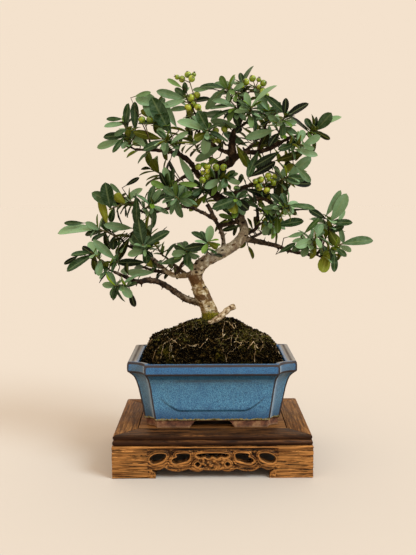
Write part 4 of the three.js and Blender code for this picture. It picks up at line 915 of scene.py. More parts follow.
# Tree: trunk, branches, twigs and the dead stub at its foot, grown as one piece. The bark is smooth and
# pale grey-cream low down, with ring scars and dark spots, and rough and dark brown in the crown.
LIMBS = {
    "trunk": [
        (-1, 0, 122, 9), (-1, 0, 140, 10.4), (-1, 0, 153, 9.6), (-5, -1, 166, 8), (-11, -2, 179, 8.5),
        (-15, -4, 189, 6.9), (-17, -5, 197, 7.3), (-13, -6, 207, 7.1), (-5, -7, 214, 6.5), (7, -7, 220, 6.1),
        (20, -6, 227, 5.9), (30, -4, 235, 5.9), (35, -1, 245, 5.2), (32, 3, 255, 4.9), (27, 6, 266, 4.6),
        (16, 8, 275, 4.4), (2, 8, 286, 5), (3, 6, 301, 4.4), (11, 4, 311, 4.2), (22, 2, 319, 5),
        (22, 0, 335, 4), (24, -2, 347, 3.1), (30, -3, 357, 2.5), (35, -4, 370, 2), (36, -4, 382, 1.6),
    ],
    "deadwood": [
        (-3, -12.5, 147.5, 2.6), (2.5, -14, 151, 2.7), (8.5, -14.5, 154.5, 3.3), (13, -14, 158.5, 2.9),
        (18, -13, 163, 3), (25, -12.5, 166, 3),
    ],
    "second_stem": [
        (13, -7, 226, 2.6), (12, -10, 240, 2.4), (7, -12, 252, 2.3), (3, -12, 258, 2.3), (1, -11, 264, 2.2),
        (-4, -9, 273, 2.4),
    ],
    "stem_bridge": [(32, 3, 255, 2.4), (20, -5, 253, 2.4), (8, -12, 250, 2.2)],
    "left_low": [
        (-9, -2, 168, 4.6), (-25, -5, 172, 3.8), (-37, -8, 180, 3.4), (-45, -12, 186, 3.2),
        (-56, -18, 193, 3.1), (-67, -21, 195, 3.3), (-77, -24, 194, 2.5), (-89, -24, 199, 2),
        (-101, -22, 204, 1.6),
    ],
    "left_low_fork": [(-77, -24, 194, 2.2), (-84, -28, 192, 1.7)],
    "left_mid": [
        (-16, -5, 200, 3.8), (-34, 2, 197, 2.9), (-46, 6, 200, 2.6), (-57, 1, 211, 2.1), (-65, -5, 219, 1.9),
    ],
    "left_mid_fork": [(-46, 6, 200, 2.2), (-62, 10, 202, 1.9), (-74, 10, 206, 1.5)],
    "left_stub": [(-61, -2, 215, 2), (-76, -1, 224, 1.9), (-92, 0, 231, 1.7)],
    "left_short": [(-38, 3, 198, 2.3), (-33, 1, 207, 2), (-28, -1, 214, 1.8)],
    "left_long": [
        (3, -12, 258, 2.2), (-10, -13, 265, 1.9), (-22, -12, 270, 1.8), (-34, -10, 271, 1.8),
        (-49, -8, 268, 1.7), (-66, -5, 264, 1.7), (-77, -4, 268, 1.5),
    ],
    "left_high": [
        (2, 8, 292, 3.4), (-11, 4, 301, 3), (-21, -2, 316, 2.8), (-30, -6, 323, 2.5), (-40, -8, 327, 2.2),
        (-56, -8, 329, 1.8), (-78, -7, 330, 1.5),
    ],
    "left_high_fork": [(-17, 0, 310, 2.1), (-26, -6, 303, 1.9), (-37, -12, 296, 1.6)],
    "right_low": [
        (32, -3, 237, 3.6), (43, -4, 235, 3.2), (57, -8, 232, 2.7), (70, -13, 229, 2.3), (80, -17, 225, 2.1),
        (95, -20, 222, 1.9), (109, -19, 221, 1.8), (116, -16, 231, 1.5),
    ],
    "right_riser": [
        (35, -1, 242, 2.4), (45, 2, 245, 2), (50, 6, 251, 1.9), (50, 10, 262, 1.7), (49, 12, 272, 1.5),
    ],
    "right_mid": [
        (27, 6, 266, 2.7), (39, 0, 274, 2.4), (50, -6, 279, 2.2), (60, -10, 276, 2), (68, -12, 268, 1.7),
    ],
    "right_mid_fork": [(16, 8, 275, 2.6), (29, 2, 288, 2.2), (40, -6, 292, 1.9), (56, -10, 291, 1.6)],
    "right_high": [
        (22, 2, 319, 3.2), (34, -3, 326, 2.8), (49, -8, 327, 2.5), (63, -12, 331, 2.2), (80, -14, 340, 1.8),
        (92, -12, 343, 1.5),
    ],
    "right_high_up": [(49, -8, 327, 1.8), (54, -4, 344, 1.5), (58, 0, 356, 1.3)],
    "right_high_rise": [(63, -12, 331, 1.7), (68, -13, 338, 1.4)],
    "crown_right": [(24, -2, 347, 1.8), (33, -8, 354, 1.5), (37, -11, 357, 1.3)],
    "crown_left": [(22, 1, 327, 2.4), (12, 0, 329, 2.2), (-2, -3, 338, 1.9), (-12, -5, 346, 1.5)],
    "knot_left": [(22, 2, 319, 2.6), (13, -2, 318, 1.9), (6, -5, 315, 1.6)],
    "back_low_left": [(-14, -4, 189, 3.2), (-24, 10, 195, 2.4), (-40, 24, 206, 1.9), (-50, 34, 214, 1.4)],
    "back_low_right": [(20, -6, 229, 3.2), (31, 10, 231, 2.4), (44, 24, 236, 1.9), (58, 34, 242, 1.4)],
    "back_mid": [(32, 3, 255, 2.9), (29, 18, 256, 2.1), (18, 32, 264, 1.6)],
    "back_mid_right": [(27, 6, 266, 2.8), (43, 18, 276, 2.2), (60, 28, 288, 1.6)],
    "back_mid_left": [(2, 8, 286, 3), (-14, 22, 288, 2.2), (-36, 32, 294, 1.6)],
    "back_high": [(11, 4, 311, 2.8), (6, 20, 318, 2.1), (-8, 32, 328, 1.6)],
    "back_high_right": [(22, 2, 319, 2.8), (38, 18, 330, 2.1), (50, 28, 342, 1.6)],
}
# Leafy shoots, each on a bark twig from a limb's point: name, limb, point, base, tip, listed leaves as
# (heading, lean, length, width seen, below zero for the underside), and how many more leaves point away
# from the viewer, or stand all round where none is listed.
SHOOTS = [
    ("right_tip_high", "right_low", 7, (120, -15, 241), (125, -17, 256), [
        (20, 25, 18, 7), (-64, 30, 22, -12), (188, 25, 19, 11), (155, -10, 21, 5), (5, 20, 23, 7),
        (63, 12, 32, 13)], 3),
    ("right_tip_low", "right_low", 6, (116, -30, 222), (133, -36, 233), [
        (248, 20, 25, -13), (-95, -25, 17, 7), (-40, 15, 15, 6), (-20, -15, 18, 6), (11, 8, 32, 9)], 3),
    ("right_fork", "right_low", 5, (95, -40, 231), (105, -47, 240), [
        (243, 15, 15, 8), (203, 20, 21, 7), (180, -12, 20, 5), (200, 25, 22, 9), (60, -20, 17, 6)], 3),
    ("right_bend", "right_mid_fork", 3, (68, -14, 294), (79, -22, 301), [
        (188, 20, 21, 6), (65, -20, 16, 7), (-110, 25, 19, -14), (-17, 10, 17, 6), (-5, 25, 20, 9),
        (40, 8, 31, 11)], 3),
    ("right_under_crown", "right_high", 4, (82, -25, 333), (93, -31, 331), [
        (197, 15, 18, 7), (64, -15, 18, 8), (-16, 25, 15, 5), (29, 10, 20, 8)], 3),
    ("right_mid", "right_mid", 4, (72, -32, 269), (79, -38, 272), [
        (185, -15, 21, 5), (139, 12, 19, 7), (108, -20, 15, 7), (-51, 20, 14, -5), (-5, 15, 26, 6)], 3),
    ("right_riser", "right_riser", 2, (60, 3, 253), (70, -2, 250), [
        (236, 15, 15, 9), (120, -15, 15, 8), (11, 15, 29, 9)], 3),
    ("centre", "trunk", 14, (26, -14, 273), (26, -24, 279), [
        (219, -5, 15, 8), (-57, 15, 16, 8), (248, 25, 16, -11), (225, 15, 15, 7), (-42, 25, 17, 10),
        (201, 22, 27, 10)], 2),
    ("centre_high", "trunk", 17, (8, -4, 299), (16, -9, 299), [
        (209, 15, 20, 8), (23, -10, 17, 5), (-17, 20, 16, 6)], 3),
    ("centre_left", "trunk", 16, (-5, 2, 288), (-10, -1, 290), [
        (212, -15, 18, 7), (211, 15, 25, 7), (216, 30, 16, 7)], 3),
    ("trunk", "trunk", 8, (-4, -20, 229), (-3, -27, 235), [
        (187, 15, 24, 8), (81, 20, 19, 9), (-30, 30, 14, -7)], 2),
    ("left_top_far", "left_high", 6, (-84, -8, 336), (-89, -12, 357), [
        (236, 15, 13, 6), (181, 12, 25, 8), (90, -15, 27, 6), (208, 20, 14, 6), (82, 18, 24, 7),
        (184, 10, 21, 6)], 4),
    ("left_top_high", "left_high", 4, (-46, -11, 338), (-60, -14, 377), [
        (115, 8, 43, 17), (163, 20, 23, 5), (160, 10, 19, -8), (60, -25, 20, 7), (160, 15, 19, 9)], 4),
    ("left_peak", "crown_left", 3, (-15, -7, 352), (-27, -10, 388), [
        (21, 15, 32, 6), (0, -15, 24, 6), (181, 12, 21, 6), (16, 12, 23, 6), (137, -12, 18, 7),
        (90, 20, 14, 6)], 4),
    ("left_inner", "crown_left", 2, (-5, -24, 343), (-3, -32, 348), [
        (210, 25, 17, -8), (157, 10, 31, 9), (119, 20, 21, 11)], 3),
    ("left_mid_high", "left_high", 3, (-38, -26, 332), (-49, -33, 339), [
        (36, 15, 21, 6), (255, 10, 14, 6), (204, 15, 25, 8), (275, -10, 13, 5)], 3),
    ("shoulder_far", "left_long", 6, (-85, -4, 274), (-107, -8, 268), [
        (134, 25, 17, -10), (42, -10, 28, 7), (153, 15, 30, 12), (250, -20, 19, 7), (99, 10, 28, 14)], 4),
    ("shoulder_near", "left_long", 5, (-66, -24, 270), (-59, -32, 274), [
        (75, 15, 22, 7), (57, -15, 19, 5), (57, 20, 19, 6), (40, -5, 17, 5)], 3),
    ("left_far_high", "left_stub", 2, (-98, -3, 238), (-122, -6, 248), [
        (265, 20, 15, 9), (41, -15, 15, 6), (206, 20, 19, 5), (189, -10, 22, 6), (150, 25, 18, 7),
        (177, 8, 41, 9)], 4),
    ("left_far_low", "left_low", 8, (-108, -32, 211), (-122, -39, 226), [
        (229, -20, 17, 5), (262, 20, 16, 8), (273, -10, 20, 6), (150, -20, 20, 7), (207, 12, 32, 8),
        (183, 15, 21, 5)], 3),
    ("left_mid", "left_mid", 4, (-68, -20, 226), (-70, -29, 232), [
        (200, 20, 19, 8), (133, -15, 20, 10), (33, 12, 31, 9), (100, 10, 28, 14)], 3),
    ("left_low", "left_low_fork", 1, (-90, -38, 191), (-98, -45, 192), [
        (-46, 15, 16, 9), (239, -15, 19, 5), (173, 20, 15, 7), (120, -10, 17, 7)], 3),
    ("trunk_left", "left_short", 2, (-26, -4, 220), (-26, -9, 225), [
        (-28, 20, 14, 5), (190, 15, 16, 8), (162, -10, 15, 6)], 3),
    ("long_left", "left_long", 3, (-32, -28, 277), (-36, -36, 281), [
        (-23, 20, 16, 8), (243, 15, 18, 5), (150, -15, 18, 7)], 3),
    ("left_dark", "left_high_fork", 2, (-42, -20, 291), (-47, -27, 288), [
        (100, 10, 21, 8), (-40, 20, 15, 9), (195, -10, 17, 6)], 3),
    ("top", "trunk", 24, (34, -6, 389), (33, -9, 395), [
        (35, 20, 17, 7), (100, -20, 17, 6), (45, 8, 27, 5)], 3),
    ("top_left", "trunk", 23, (28, -14, 384), (15, -22, 389), [
        (177, -15, 25, 6), (30, 20, 14, 5), (73, -10, 16, 5), (168, 12, 27, 6)], 3),
    ("crown_right", "right_high_up", 2, (61, -1, 363), (60, -5, 369), [
        (134, -10, 18, 7), (40, 20, 16, 6), (119, 15, 29, 10)], 3),
    ("crown_mid", "crown_right", 2, (39, -26, 364), (40, -33, 369), [
        (180, 15, 16, 5), (108, 15, 17, 7), (48, 10, 33, 5)], 3),
    ("crown_far", "right_high_rise", 1, (70, -22, 348), (74, -31, 361), [
        (143, 12, 16, 7), (0, -10, 16, 6), (36, 12, 29, 7), (86, 15, 18, 7)], 4),
    ("far_right_top", "right_high", 5, (99, -13, 345), (109, -15, 348), [
        (137, 15, 27, 5), (-15, -10, 16, 6), (118, -15, 16, 7), (36, 8, 30, 6), (51, 20, 24, 12)], 4),
    ("top_inner", "trunk", 22, (27, -16, 367), (24, -25, 372), [
        (199, 15, 29, 5), (177, -5, 25, 5)], 3),
    ("back_low_left", "back_low_left", 3, (-57, 39, 220), (-74, 43, 242), [], 8),
    ("back_low_right", "back_low_right", 3, (65, 37, 248), (84, 40, 266), [], 8),
    ("back_mid", "back_mid", 2, (12, 38, 270), (-2, 44, 290), [], 8),
    ("back_mid_right", "back_mid_right", 2, (68, 31, 294), (86, 35, 311), [], 8),
    ("back_mid_left", "back_mid_left", 2, (-45, 35, 298), (-66, 38, 312), [], 8),
    ("back_high", "back_high", 2, (-15, 36, 334), (-28, 38, 356), [], 8),
    ("back_high_right", "back_high_right", 2, (56, 32, 349), (66, 32, 371), [], 8),
]
# Berry bunches: name, the limb's point that the spur leaves, the stalk and the middle of each berry.
BUNCHES = [
    ("peak", "crown_left", 3, [(-12, -13, 356), (-15, -18, 376), (-21, -18, 396)], [
        (-23, -16, 404), (-29, -14, 400), (-19, -22, 399), (-14, -15, 384), (-20, -23, 380), (-23, -19, 371),
        (-13, -21, 371)]),
    ("inner", "trunk", 20, [(14, -6, 337), (11, -12, 342)], [(5, -15, 348), (14, -12, 350), (8, -16, 338)]),
    ("trunk", "knot_left", 2, [(8, -9, 312), (9, -12, 312)], [(5, -15, 311), (13, -14, 311)]),
    ("left", "left_high", 1, [(-12, -4, 302), (-9, -8, 304)], [
        (-13, -9, 312), (-4, -10, 312), (-4, -9, 302), (-9, -13, 298)]),
    ("right", "right_mid_fork", 2, [(46, -13, 294), (55, -19, 293)], [
        (64, -21, 295), (57, -23, 287), (51, -20, 298), (49, -24, 290), (59, -17, 302)]),
    ("top", "trunk", 24, [(40, -8, 388), (46, -10, 392)], [
        (36, -13, 397), (43, -9, 401), (54, -11, 396), (53, -14, 387)]),
    ("far_left", "left_high", 5, [(-63, -16, 340), (-66, -20, 352)], [(-70, -20, 359), (-62, -21, 359)]),
]
TWIG_RADIUS = 1.3
TWIG_LEAD = 5
SHOOT_BASE_RADIUS = 1.4
SHOOT_TIP_RADIUS = 1.1
SHOOT_RISE = 0.06
STALK_RADIUS = 0.8
BARK_VOXEL = 0.7
FOOT_MOSS_START = 149
FOOT_MOSS_SPAN = 11
# How pale the bark of a limb is, at its start and at its end. The others are dark throughout.
PALE_LIMBS = {
    "deadwood": (0.9, 1.0), "left_low": (0.34, 0.03), "left_mid": (2.2, 0.4), "second_stem": (0.4, 0.1),
    "right_low": (0.3, 0.1), "back_low_left": (0.7, 0.2), "back_low_right": (0.5, 0.15),
    "left_short": (0.1, 0.1),
}


def stations_along(rows, step):
    """(point, radius) along a centre line at steps of about the length given, in millimetres."""
    points = [Vector(row[:3]) for row in rows]
    stations = []
    for i, (low, high) in enumerate(zip(rows, rows[1:])):
        parts = max(1, math.floor((points[i + 1] - points[i]).length / step + 0.5))
        for part in range(0 if i == 0 else 1, parts + 1):
            share = part / parts
            stations.append((spline_point(points, i + share), low[3] + (high[3] - low[3]) * share))
    return stations


def shoot_rows(base, tip):
    """A shoot's centre line, which rises a little in its middle."""
    base, tip = Vector(base), Vector(tip)
    middle = (base + tip) / 2 + Vector((0, 0, SHOOT_RISE * (tip - base).length))
    middle_radius = (SHOOT_BASE_RADIUS + SHOOT_TIP_RADIUS) / 2
    return [(*base, SHOOT_BASE_RADIUS), (*middle, middle_radius), (*tip, SHOOT_TIP_RADIUS)]


def twig_rows(limb, point, rows):
    """The bark twig that carries a shoot or a bunch."""
    base = Vector(rows[0][:3])
    direction = (Vector(rows[1][:3]) - base).normalized()
    start = Vector(LIMBS[limb][point][:3])
    lead = base - direction * min(TWIG_LEAD, 0.4 * (base - start).length)
    end = base - direction * JOINT_GAP
    start_radius = min(LIMBS[limb][point][3], TWIG_RADIUS)
    return [(*start, start_radius), (*lead, TWIG_RADIUS), (*end, SHOOT_BASE_RADIUS)]


bark_draw = random.Random(5)
limb_paths = {name: stations_along(rows, 2.0) for name, rows in LIMBS.items()}
bark_paths = []
for name, path in limb_paths.items():
    uneven = []
    for index, (point, radius) in enumerate(path):
        swell = 1 + 0.07 * noise.noise(point * 0.11) + (0.05 if index % 7 == 3 else 0.0)
        if name == "deadwood":
            swell += 0.1 + 0.12 * math.sin(index * 1.9)
        if name != "trunk" and name not in PALE_LIMBS:
            swell += 0.16 * noise.noise(point * 0.33) + (0.14 if index % 5 == 2 else 0.0)
        uneven.append((point, radius * swell))
    bark_paths.append(uneven)
carried_rows = {}
for name, limb, point, base, tip, _, _ in SHOOTS:
    carried_rows[f"spray_{name}"] = (limb, point, shoot_rows(base, tip))
for name, limb, point, stalk, _ in BUNCHES:
    carried_rows[f"berries_{name}"] = (limb, point, [(*place, STALK_RADIUS) for place in stalk])
twig_lines = {name: twig_rows(*carried) for name, carried in carried_rows.items()}
for rows in twig_lines.values():
    bark_paths.append([(point, max(radius * 0.92, 1.05)) for point, radius in stations_along(rows, 2.0)])


def square_to(way, axis):
    """The direction of the part of a way that stands square to an axis."""
    return (way - axis * way.dot(axis)).normalized()


def spur_paths():
    """Short thorny spurs and old leaf bases along the branches."""
    spurs = []
    for name, path in limb_paths.items():
        if name == "deadwood":
            continue
        for index in range(3, len(path) - 2):
            point, radius = path[index]
            if bark_draw.random() > (0.1 if name == "trunk" else 0.3):
                continue
            along = (path[index + 1][0] - path[index - 1][0]).normalized()
            around = Vector([bark_draw.uniform(-1, 1) for _ in range(3)])
            out = square_to(around, along)
            reach = bark_draw.triangular(0.8, 4.6, 1.4) if name != "trunk" else bark_draw.uniform(0.8, 1.8)
            tip = point + out * (radius + reach) + along * bark_draw.uniform(0, reach * 0.6)
            width = 0.95 if name == "trunk" else bark_draw.uniform(0.6, 1.1)
            foot = point + out * radius * 0.4
            spurs.append([(foot, width), (point.lerp(tip, 0.65), width), (tip, width * 0.5)])
    return spurs


bark = form_of(tube_mesh(bark_paths, sides=3))
bark.from_mesh(tube_mesh(spur_paths()))
bark = remeshed(bark, BARK_VOXEL, 1)

limb_values = []
for name, path in limb_paths.items():
    for index, (point, radius) in enumerate(path):
        share = index / (len(path) - 1)
        if name == "trunk":
            pale = min(1, max(0.06, (268 - point.z) / 42)) if share < 0.55 else 0.06
        else:
            start, end = PALE_LIMBS.get(name, (0.08, 0.08))
            pale = start + (end - start) * min(1, share * 1.6)
        limb_values.append((pale, radius, name))
limb_tree = search_tree([point for path in limb_paths.values() for point, _ in path])


def limb_at(place):
    """How pale the nearest limb is, its radius and name, and the distance to its centre line."""
    near = min(limb_tree.find_n(place, 12), key=lambda found: found[2] - limb_values[found[1]][1])
    return *limb_values[near[1]], near[2]


def bark_rough(place, normal):
    """Small lumps and creases, deeper on thick dark wood, with ring scars round the pale trunk."""
    pale, radius, _, distance = limb_at(place)
    scale = min(1.0, 0.25 + radius / 6) if distance < radius + 3 else 0.25
    lumps = 0.62 * noise.noise(place * 0.30) + 0.34 * noise.noise(place * 0.8 + Vector((7, 1, 3)))
    rings = 0.25 * noise.noise(Vector((place.x * 0.06, place.y * 0.06, place.z * 0.62))) * pale
    return scale * (lumps * (1.25 - 0.5 * pale) + rings) - 0.05


push_out(bark, bark_rough)


# The old rings round the trunk: middle height, half width and depth of tone
SCAR_RINGS = [(175, 5, 1.0), (184.5, 1.6, 0.6), (195, 7, 1.0), (213, 3, 0.45), (232, 3, 0.35)]


def scar_share(place, normal):
    """1 in the old brown rings round the trunk, 0 between them and on every other limb."""
    height = place.z + 2.5 * noise.noise(place * 0.12)
    if limb_at(place)[2] != "trunk":
        return 0.0
    return max(depth * math.exp(-((height - middle) / half) ** 2) for middle, half, depth in SCAR_RINGS)


mark(bark, "pale", lambda place, normal: limb_at(place)[0])
mark(bark, "dead", lambda place, normal: float(limb_at(place)[2] == "deadwood"))
mark(bark, "scar", scar_share)


def bark_finish():
    """Bark from pale, stained and flecked to dark and rough, bleached on the dead stub, green at the soil."""
    finish, tree, shader = new_finish("bark", 0.78, 0.12)
    place = object_place(tree)
    height = part_of(tree, place, "Z")
    fine = grain(tree, place, 1100, 4, 0.65)
    patches = grain(tree, place, 170, 4, 0.62, 0.5)
    stains = grain(tree, stretched(tree, (80, 80, 60)), 1.0, 4, 0.65, 0.8)
    scars = grain(tree, stretched(tree, (120, 120, 190)), 1.0, 4, 0.65, 0.6)
    pits = add_node(tree, "TexVoronoi", {"Vector": stretched(tree, (130, 130, 200)), "Scale": 1.0,
                    "Randomness": 1.0}).outputs["Distance"]
    pale_bark = ramp(tree, patches, [(0.34, (66, 42, 18)), (0.44, (124, 100, 62)),
                                     (0.54, (166, 148, 112)), (0.66, (208, 198, 176))])
    stained = blend(tree, ramp(tree, stains, [(0.5, 0), (0.58, 0.6)]), pale_bark, (118, 86, 48))
    upper = spread(tree, height, 190 * MM, 212 * MM, high=0.75)
    greyed = blend(tree, upper, stained, blend(tree, 0.5, stained, (128, 128, 124)))
    flecked = blend(tree, ramp(tree, fine, [(0.34, 0.8), (0.45, 0)]), greyed, (74, 50, 26))
    scar_level = maths(tree, "MULTIPLY_ADD", named(tree, "scar"), -0.24, scars)
    scarred = blend(tree, ramp(tree, scar_level, [(0.31, 0.92), (0.36, 0)]), flecked,
                    blend(tree, fine, (34, 20, 8), (108, 74, 40)))
    pitted = blend(tree, ramp(tree, pits, [(0.21, 0.95), (0.28, 0)]), scarred, (34, 20, 10))
    dark_bark = ramp(tree, patches, [(0.3, (16, 11, 7)), (0.48, (44, 31, 20)), (0.62, (82, 64, 46)),
                                     (0.76, (126, 114, 100))])
    dark_flecked = blend(tree, ramp(tree, fine, [(0.35, 0.75), (0.55, 0)]), dark_bark, (14, 10, 7))
    paleness = maths(tree, "ADD", named(tree, "pale"), blend(tree, patches, -0.22, 0.22), clamp=True)
    share = ramp(tree, paleness, [(0.3, 0), (0.7, 1)])
    living = blend(tree, share, dark_flecked, pitted)
    cracks = grain(tree, place, 420, 4, 0.7)
    bleached = ramp(tree, cracks, [(0.4, (66, 38, 18)), (0.48, (150, 126, 92)), (0.6, (206, 192, 166))])
    dead = blend(tree, named(tree, "dead"), living, bleached)
    living_moss = maths(tree, "SUBTRACT", between(tree, height, 163, 149), named(tree, "dead"), clamp=True)
    ragged = maths(tree, "ADD", patches, living_moss)
    moss_tone = ramp(tree, fine, [(0.36, (38, 34, 0)), (0.5, (90, 84, 2)), (0.64, (140, 130, 12))])
    colour = blend(tree, ramp(tree, ragged, [(0.8, 0), (0.9, 0.95)]), dead, moss_tone)
    dress(tree, shader, colour, blend(tree, 0.5, fine, scars), 0.75, 0.6)
    return finish


bark_skin = bark_finish()
moss_holds = [(vert.co / MM, vert.normal.copy()) for vert in bark.verts
              if 0 < vert.co.z / MM - FOOT_MOSS_START < FOOT_MOSS_SPAN
              and math.hypot(vert.co.x / MM + 1, vert.co.y / MM) < 11]
add_piece("bark", bark, [bark_skin], ["tree"], crease=80)

# Soil: a root-bound clod that fills the pot and stands above its rim, crumbly and nearly black, with
# pale feeder roots over it, and moss round the trunk and on its right shoulder.
SOIL_LEVELS = [
    (61.3, 64.3, 37.3, 10, 9), (80, 67.6, 39.6, 10.5, 9.5), (98, 72.6, 45.6, 12, 10),
    (107, 74.2, 50.2, 12, 10),
]
SOIL_MOUND = [
    (0.98, 0, 111), (0.95, 0, 118), (0.91, -1, 124), (0.84, -2, 128), (0.75, -2, 131.5), (0.62, -1, 136),
    (0.46, 1, 142.5), (0.32, 3, 148), (0.14, 4, 150.5),
]
SOIL_VOXEL = 0.95
CRUMBS = 2200
ROOTS = 125
MOSS_TUFTS = 1100

soil_rings = [coved_ring(*level, face_step=6) for level in SOIL_LEVELS]
for share, shift, height in SOIL_MOUND:
    soil_rings.append([Vector((point.x * share + shift, point.y * share, height)) for point in soil_rings[3]])
soil = remeshed(lofted(soil_rings), SOIL_VOXEL, 2)


def soil_rough(place, normal):
    """Lumps, clods and crumbs, on what stands out of the pot."""
    exposed = min(1, max(0, (place.z - 107) / 6))
    lumps = 1.3 * noise.noise(place * 0.09) + 2.0 * noise.noise(place * 0.3 + Vector((4, 9, 2)))
    crumbs = 1.5 * noise.noise(place * 0.8 + Vector((1, 3, 8)))
    return exposed * (lumps + crumbs - 0.5)


push_out(soil, soil_rough)
soil_surface = BVHTree.FromBMesh(soil)
soil_draw = random.Random(23)


def on_soil(x, y):
    """The place and normal of the soil's surface under a point, in millimetres."""
    place, normal, _, _ = soil_surface.ray_cast(Vector((x, y, 200)) * MM, Vector((0, 0, -1)))
    return (None, None) if place is None else (place / MM, normal)


def random_soil_place():
    while True:
        place, normal = on_soil(soil_draw.uniform(-73, 73), soil_draw.uniform(-49, 49))
        if place is not None and place.z > 108 and math.hypot(place.x + 1, place.y) > 9.5:
            return place, normal


for _ in range(CRUMBS):
    place, normal = random_soil_place()
    crumb = bmesh.ops.create_icosphere(soil, subdivisions=1, radius=1)["verts"]
    size = soil_draw.uniform(0.35, 1.25)
    shape = Matrix.Diagonal((size * soil_draw.uniform(0.7, 1.4), size, size * soil_draw.uniform(0.6, 1.1)))
    axis = [soil_draw.random() for _ in range(3)]
    turn = Quaternion(axis, soil_draw.uniform(0, 6)).to_matrix()
    for vert in crumb:
        jag = 1 + 0.25 * noise.noise(vert.co * 3 + place)
        vert.co = (turn @ shape @ vert.co * jag + place + normal * size * 0.3) * MM


def soil_finish():
    """Dark humus with brown fibre, and yellow-green moss in patches."""
    finish, tree, shader = new_finish("humus", 0.95, 0.02)
    place = object_place(tree)
    clods = grain(tree, place, 260, 5, 0.7)
    fibre = grain(tree, place, 900, 4, 0.7, 2.0)
    patches = grain(tree, place, 60, 3, 0.55)
    body = ramp(tree, clods, [(0.45, (2, 1, 0)), (0.57, (14, 9, 2)), (0.66, (80, 60, 28)),
                              (0.76, (150, 124, 74))])
    fibrous = blend(tree, ramp(tree, fibre, [(0.62, 0), (0.69, 0.95)]), body, (178, 152, 100))
    mossy = product(tree, ramp(tree, patches, [(0.55, 0), (0.7, 1)]),
                    ramp(tree, clods, [(0.45, 0), (0.65, 0.75)]))
    colour = blend(tree, mossy, fibrous, (70, 66, 10))
    dress(tree, shader, colour, fibre, 1.0, 1.0)
    return finish


add_piece("soil_clod", soil, [soil_finish()], ["soil"], crease=60)


def root_path():
    """A feeder root that wanders over the soil, half sunk in it."""
    place, _ = random_soil_place()
    heading = soil_draw.uniform(0, 2 * math.pi)
    path = []
    thick = soil_draw.uniform(0.16, 0.48)
    steps = soil_draw.randint(5, 18)
    for step in range(steps):
        heading += soil_draw.uniform(-0.5, 0.5)
        spot, normal = on_soil(place.x + 1.9 * math.cos(heading), place.y + 1.9 * math.sin(heading))
        if spot is None or spot.z < 109 or (spot - place).length > 7:
            break
        place = spot
        path.append((place + normal * 0.25, thick * (1 - 0.75 * step / steps)))
    return path


root_paths = [path for path in (root_path() for _ in range(ROOTS)) if len(path) > 2]
roots = form_of(tube_mesh(root_paths))
root_tones = [(0.35, (84, 58, 30)), (0.52, (150, 122, 80)), (0.68, (210, 192, 158))]
add_piece("feeder_roots", roots, [plain_finish("feeder_root", 160, 3, 0.8, root_tones)])

moss = bmesh.new()


def add_moss_blade(place, normal):
    """One short blade of moss that leans out of the ground or the bark."""
    sizes = {"radius1": 0.32, "radius2": 0.05, "depth": 1}
    blade = bmesh.ops.create_cone(moss, cap_ends=True, segments=3, **sizes)["verts"]
    length = soil_draw.uniform(0.8, 2.0)
    lean = Vector((soil_draw.uniform(-0.8, 0.8), soil_draw.uniform(-0.8, 0.8), soil_draw.uniform(0, 0.5)))
    turn = (normal + lean).normalized().to_track_quat("Z", "Y").to_matrix()
    for vert in blade:
        vert.co = (turn @ Vector((vert.co.x, vert.co.y, (vert.co.z + 0.4) * length)) + place) * MM


moss_spots = [
    (-1, 0, 15), (-14, -6, 12), (44, -22, 13), (30, -30, 8), (58, 4, 9), (-46, 10, 10), (-30, -28, 8),
    (10, -38, 6), (40, 26, 12), (-20, 30, 12), (-58, -16, 7),
]
for _ in range(MOSS_TUFTS):
    spot_x, spot_y, reach = moss_spots[min(len(moss_spots) - 1, int(soil_draw.expovariate(0.35)))]
    off_x, off_y = soil_draw.gauss(0, reach * 0.6), soil_draw.gauss(0, reach * 0.6)
    place, normal = on_soil(spot_x + off_x, spot_y + off_y)
    if place is None or place.z < 108 or math.hypot(place.x + 1, place.y) < 9:
        continue
    for _ in range(4):
        beside = Vector((soil_draw.uniform(-0.5, 0.5), soil_draw.uniform(-0.5, 0.5), 0))
        add_moss_blade(place + beside, normal)
for place, normal in moss_holds:
    if soil_draw.random() < 0.5 * (1 - (place.z - FOOT_MOSS_START) / FOOT_MOSS_SPAN) ** 2:
        add_moss_blade(place, normal)
moss_tones = [(0.35, (34, 32, 5)), (0.55, (86, 80, 12)), (0.72, (150, 138, 36))]
add_piece("moss", moss, [plain_finish("moss", 210, 4, 0.9, moss_tones)])

# Berries: hard green pomes of about 7.5 mm on thin stalks, flattened at both ends, each with the dark
# five-pointed calyx that the flower left.
BERRY_RADIUS = 3.75
SMALL_BERRIES = {"peak": 4, "left": 2, "right": 4, "top": 6, "inner": 1}


def add_berry(form, center, outward, size):
    """A round pome whose five sepals face outward. It gives the sepals' vertices back."""
    ball = bmesh.ops.create_uvsphere(form, u_segments=20, v_segments=14, radius=1)["verts"]
    turn = outward.to_track_quat("Z", "Y").to_matrix()
    for vert in ball:
        x, y, z = vert.co
        across = math.hypot(x, y)
        dimple = 0.22 * max(0, 1 - across / 0.42) ** 2
        shape = Vector((x, y, z * 0.93 - math.copysign(dimple, z)))
        vert.co = (center + turn @ shape * size) * MM
    sepals = []
    for i in range(5):
        sizes = {"radius1": 0.5, "radius2": 0.08, "depth": 1.5}
        point = bmesh.ops.create_cone(form, cap_ends=True, segments=4, **sizes)["verts"]
        lean = Matrix.Rotation(0.75, 3, "X")
        spin = Matrix.Rotation(2 * math.pi * i / 5, 3, "Z")
        for vert in point:
            flat = Vector((vert.co.x, vert.co.y * 0.45, vert.co.z + 0.45))
            local = spin @ (lean @ flat + Vector((0, -0.75, 0.62 * size)) + Vector((0, 0, 0.9)))
            vert.co = (center + turn @ local) * MM
        sepals += point
    return sepals


def add_stems(form, paths):
    """Thin stems along paths, in the piece's third material."""
    start = len(form.faces)
    form.from_mesh(tube_mesh(paths))
    form.faces.ensure_lookup_table()
    for face in form.faces[start:]:
        face.material_index = 2


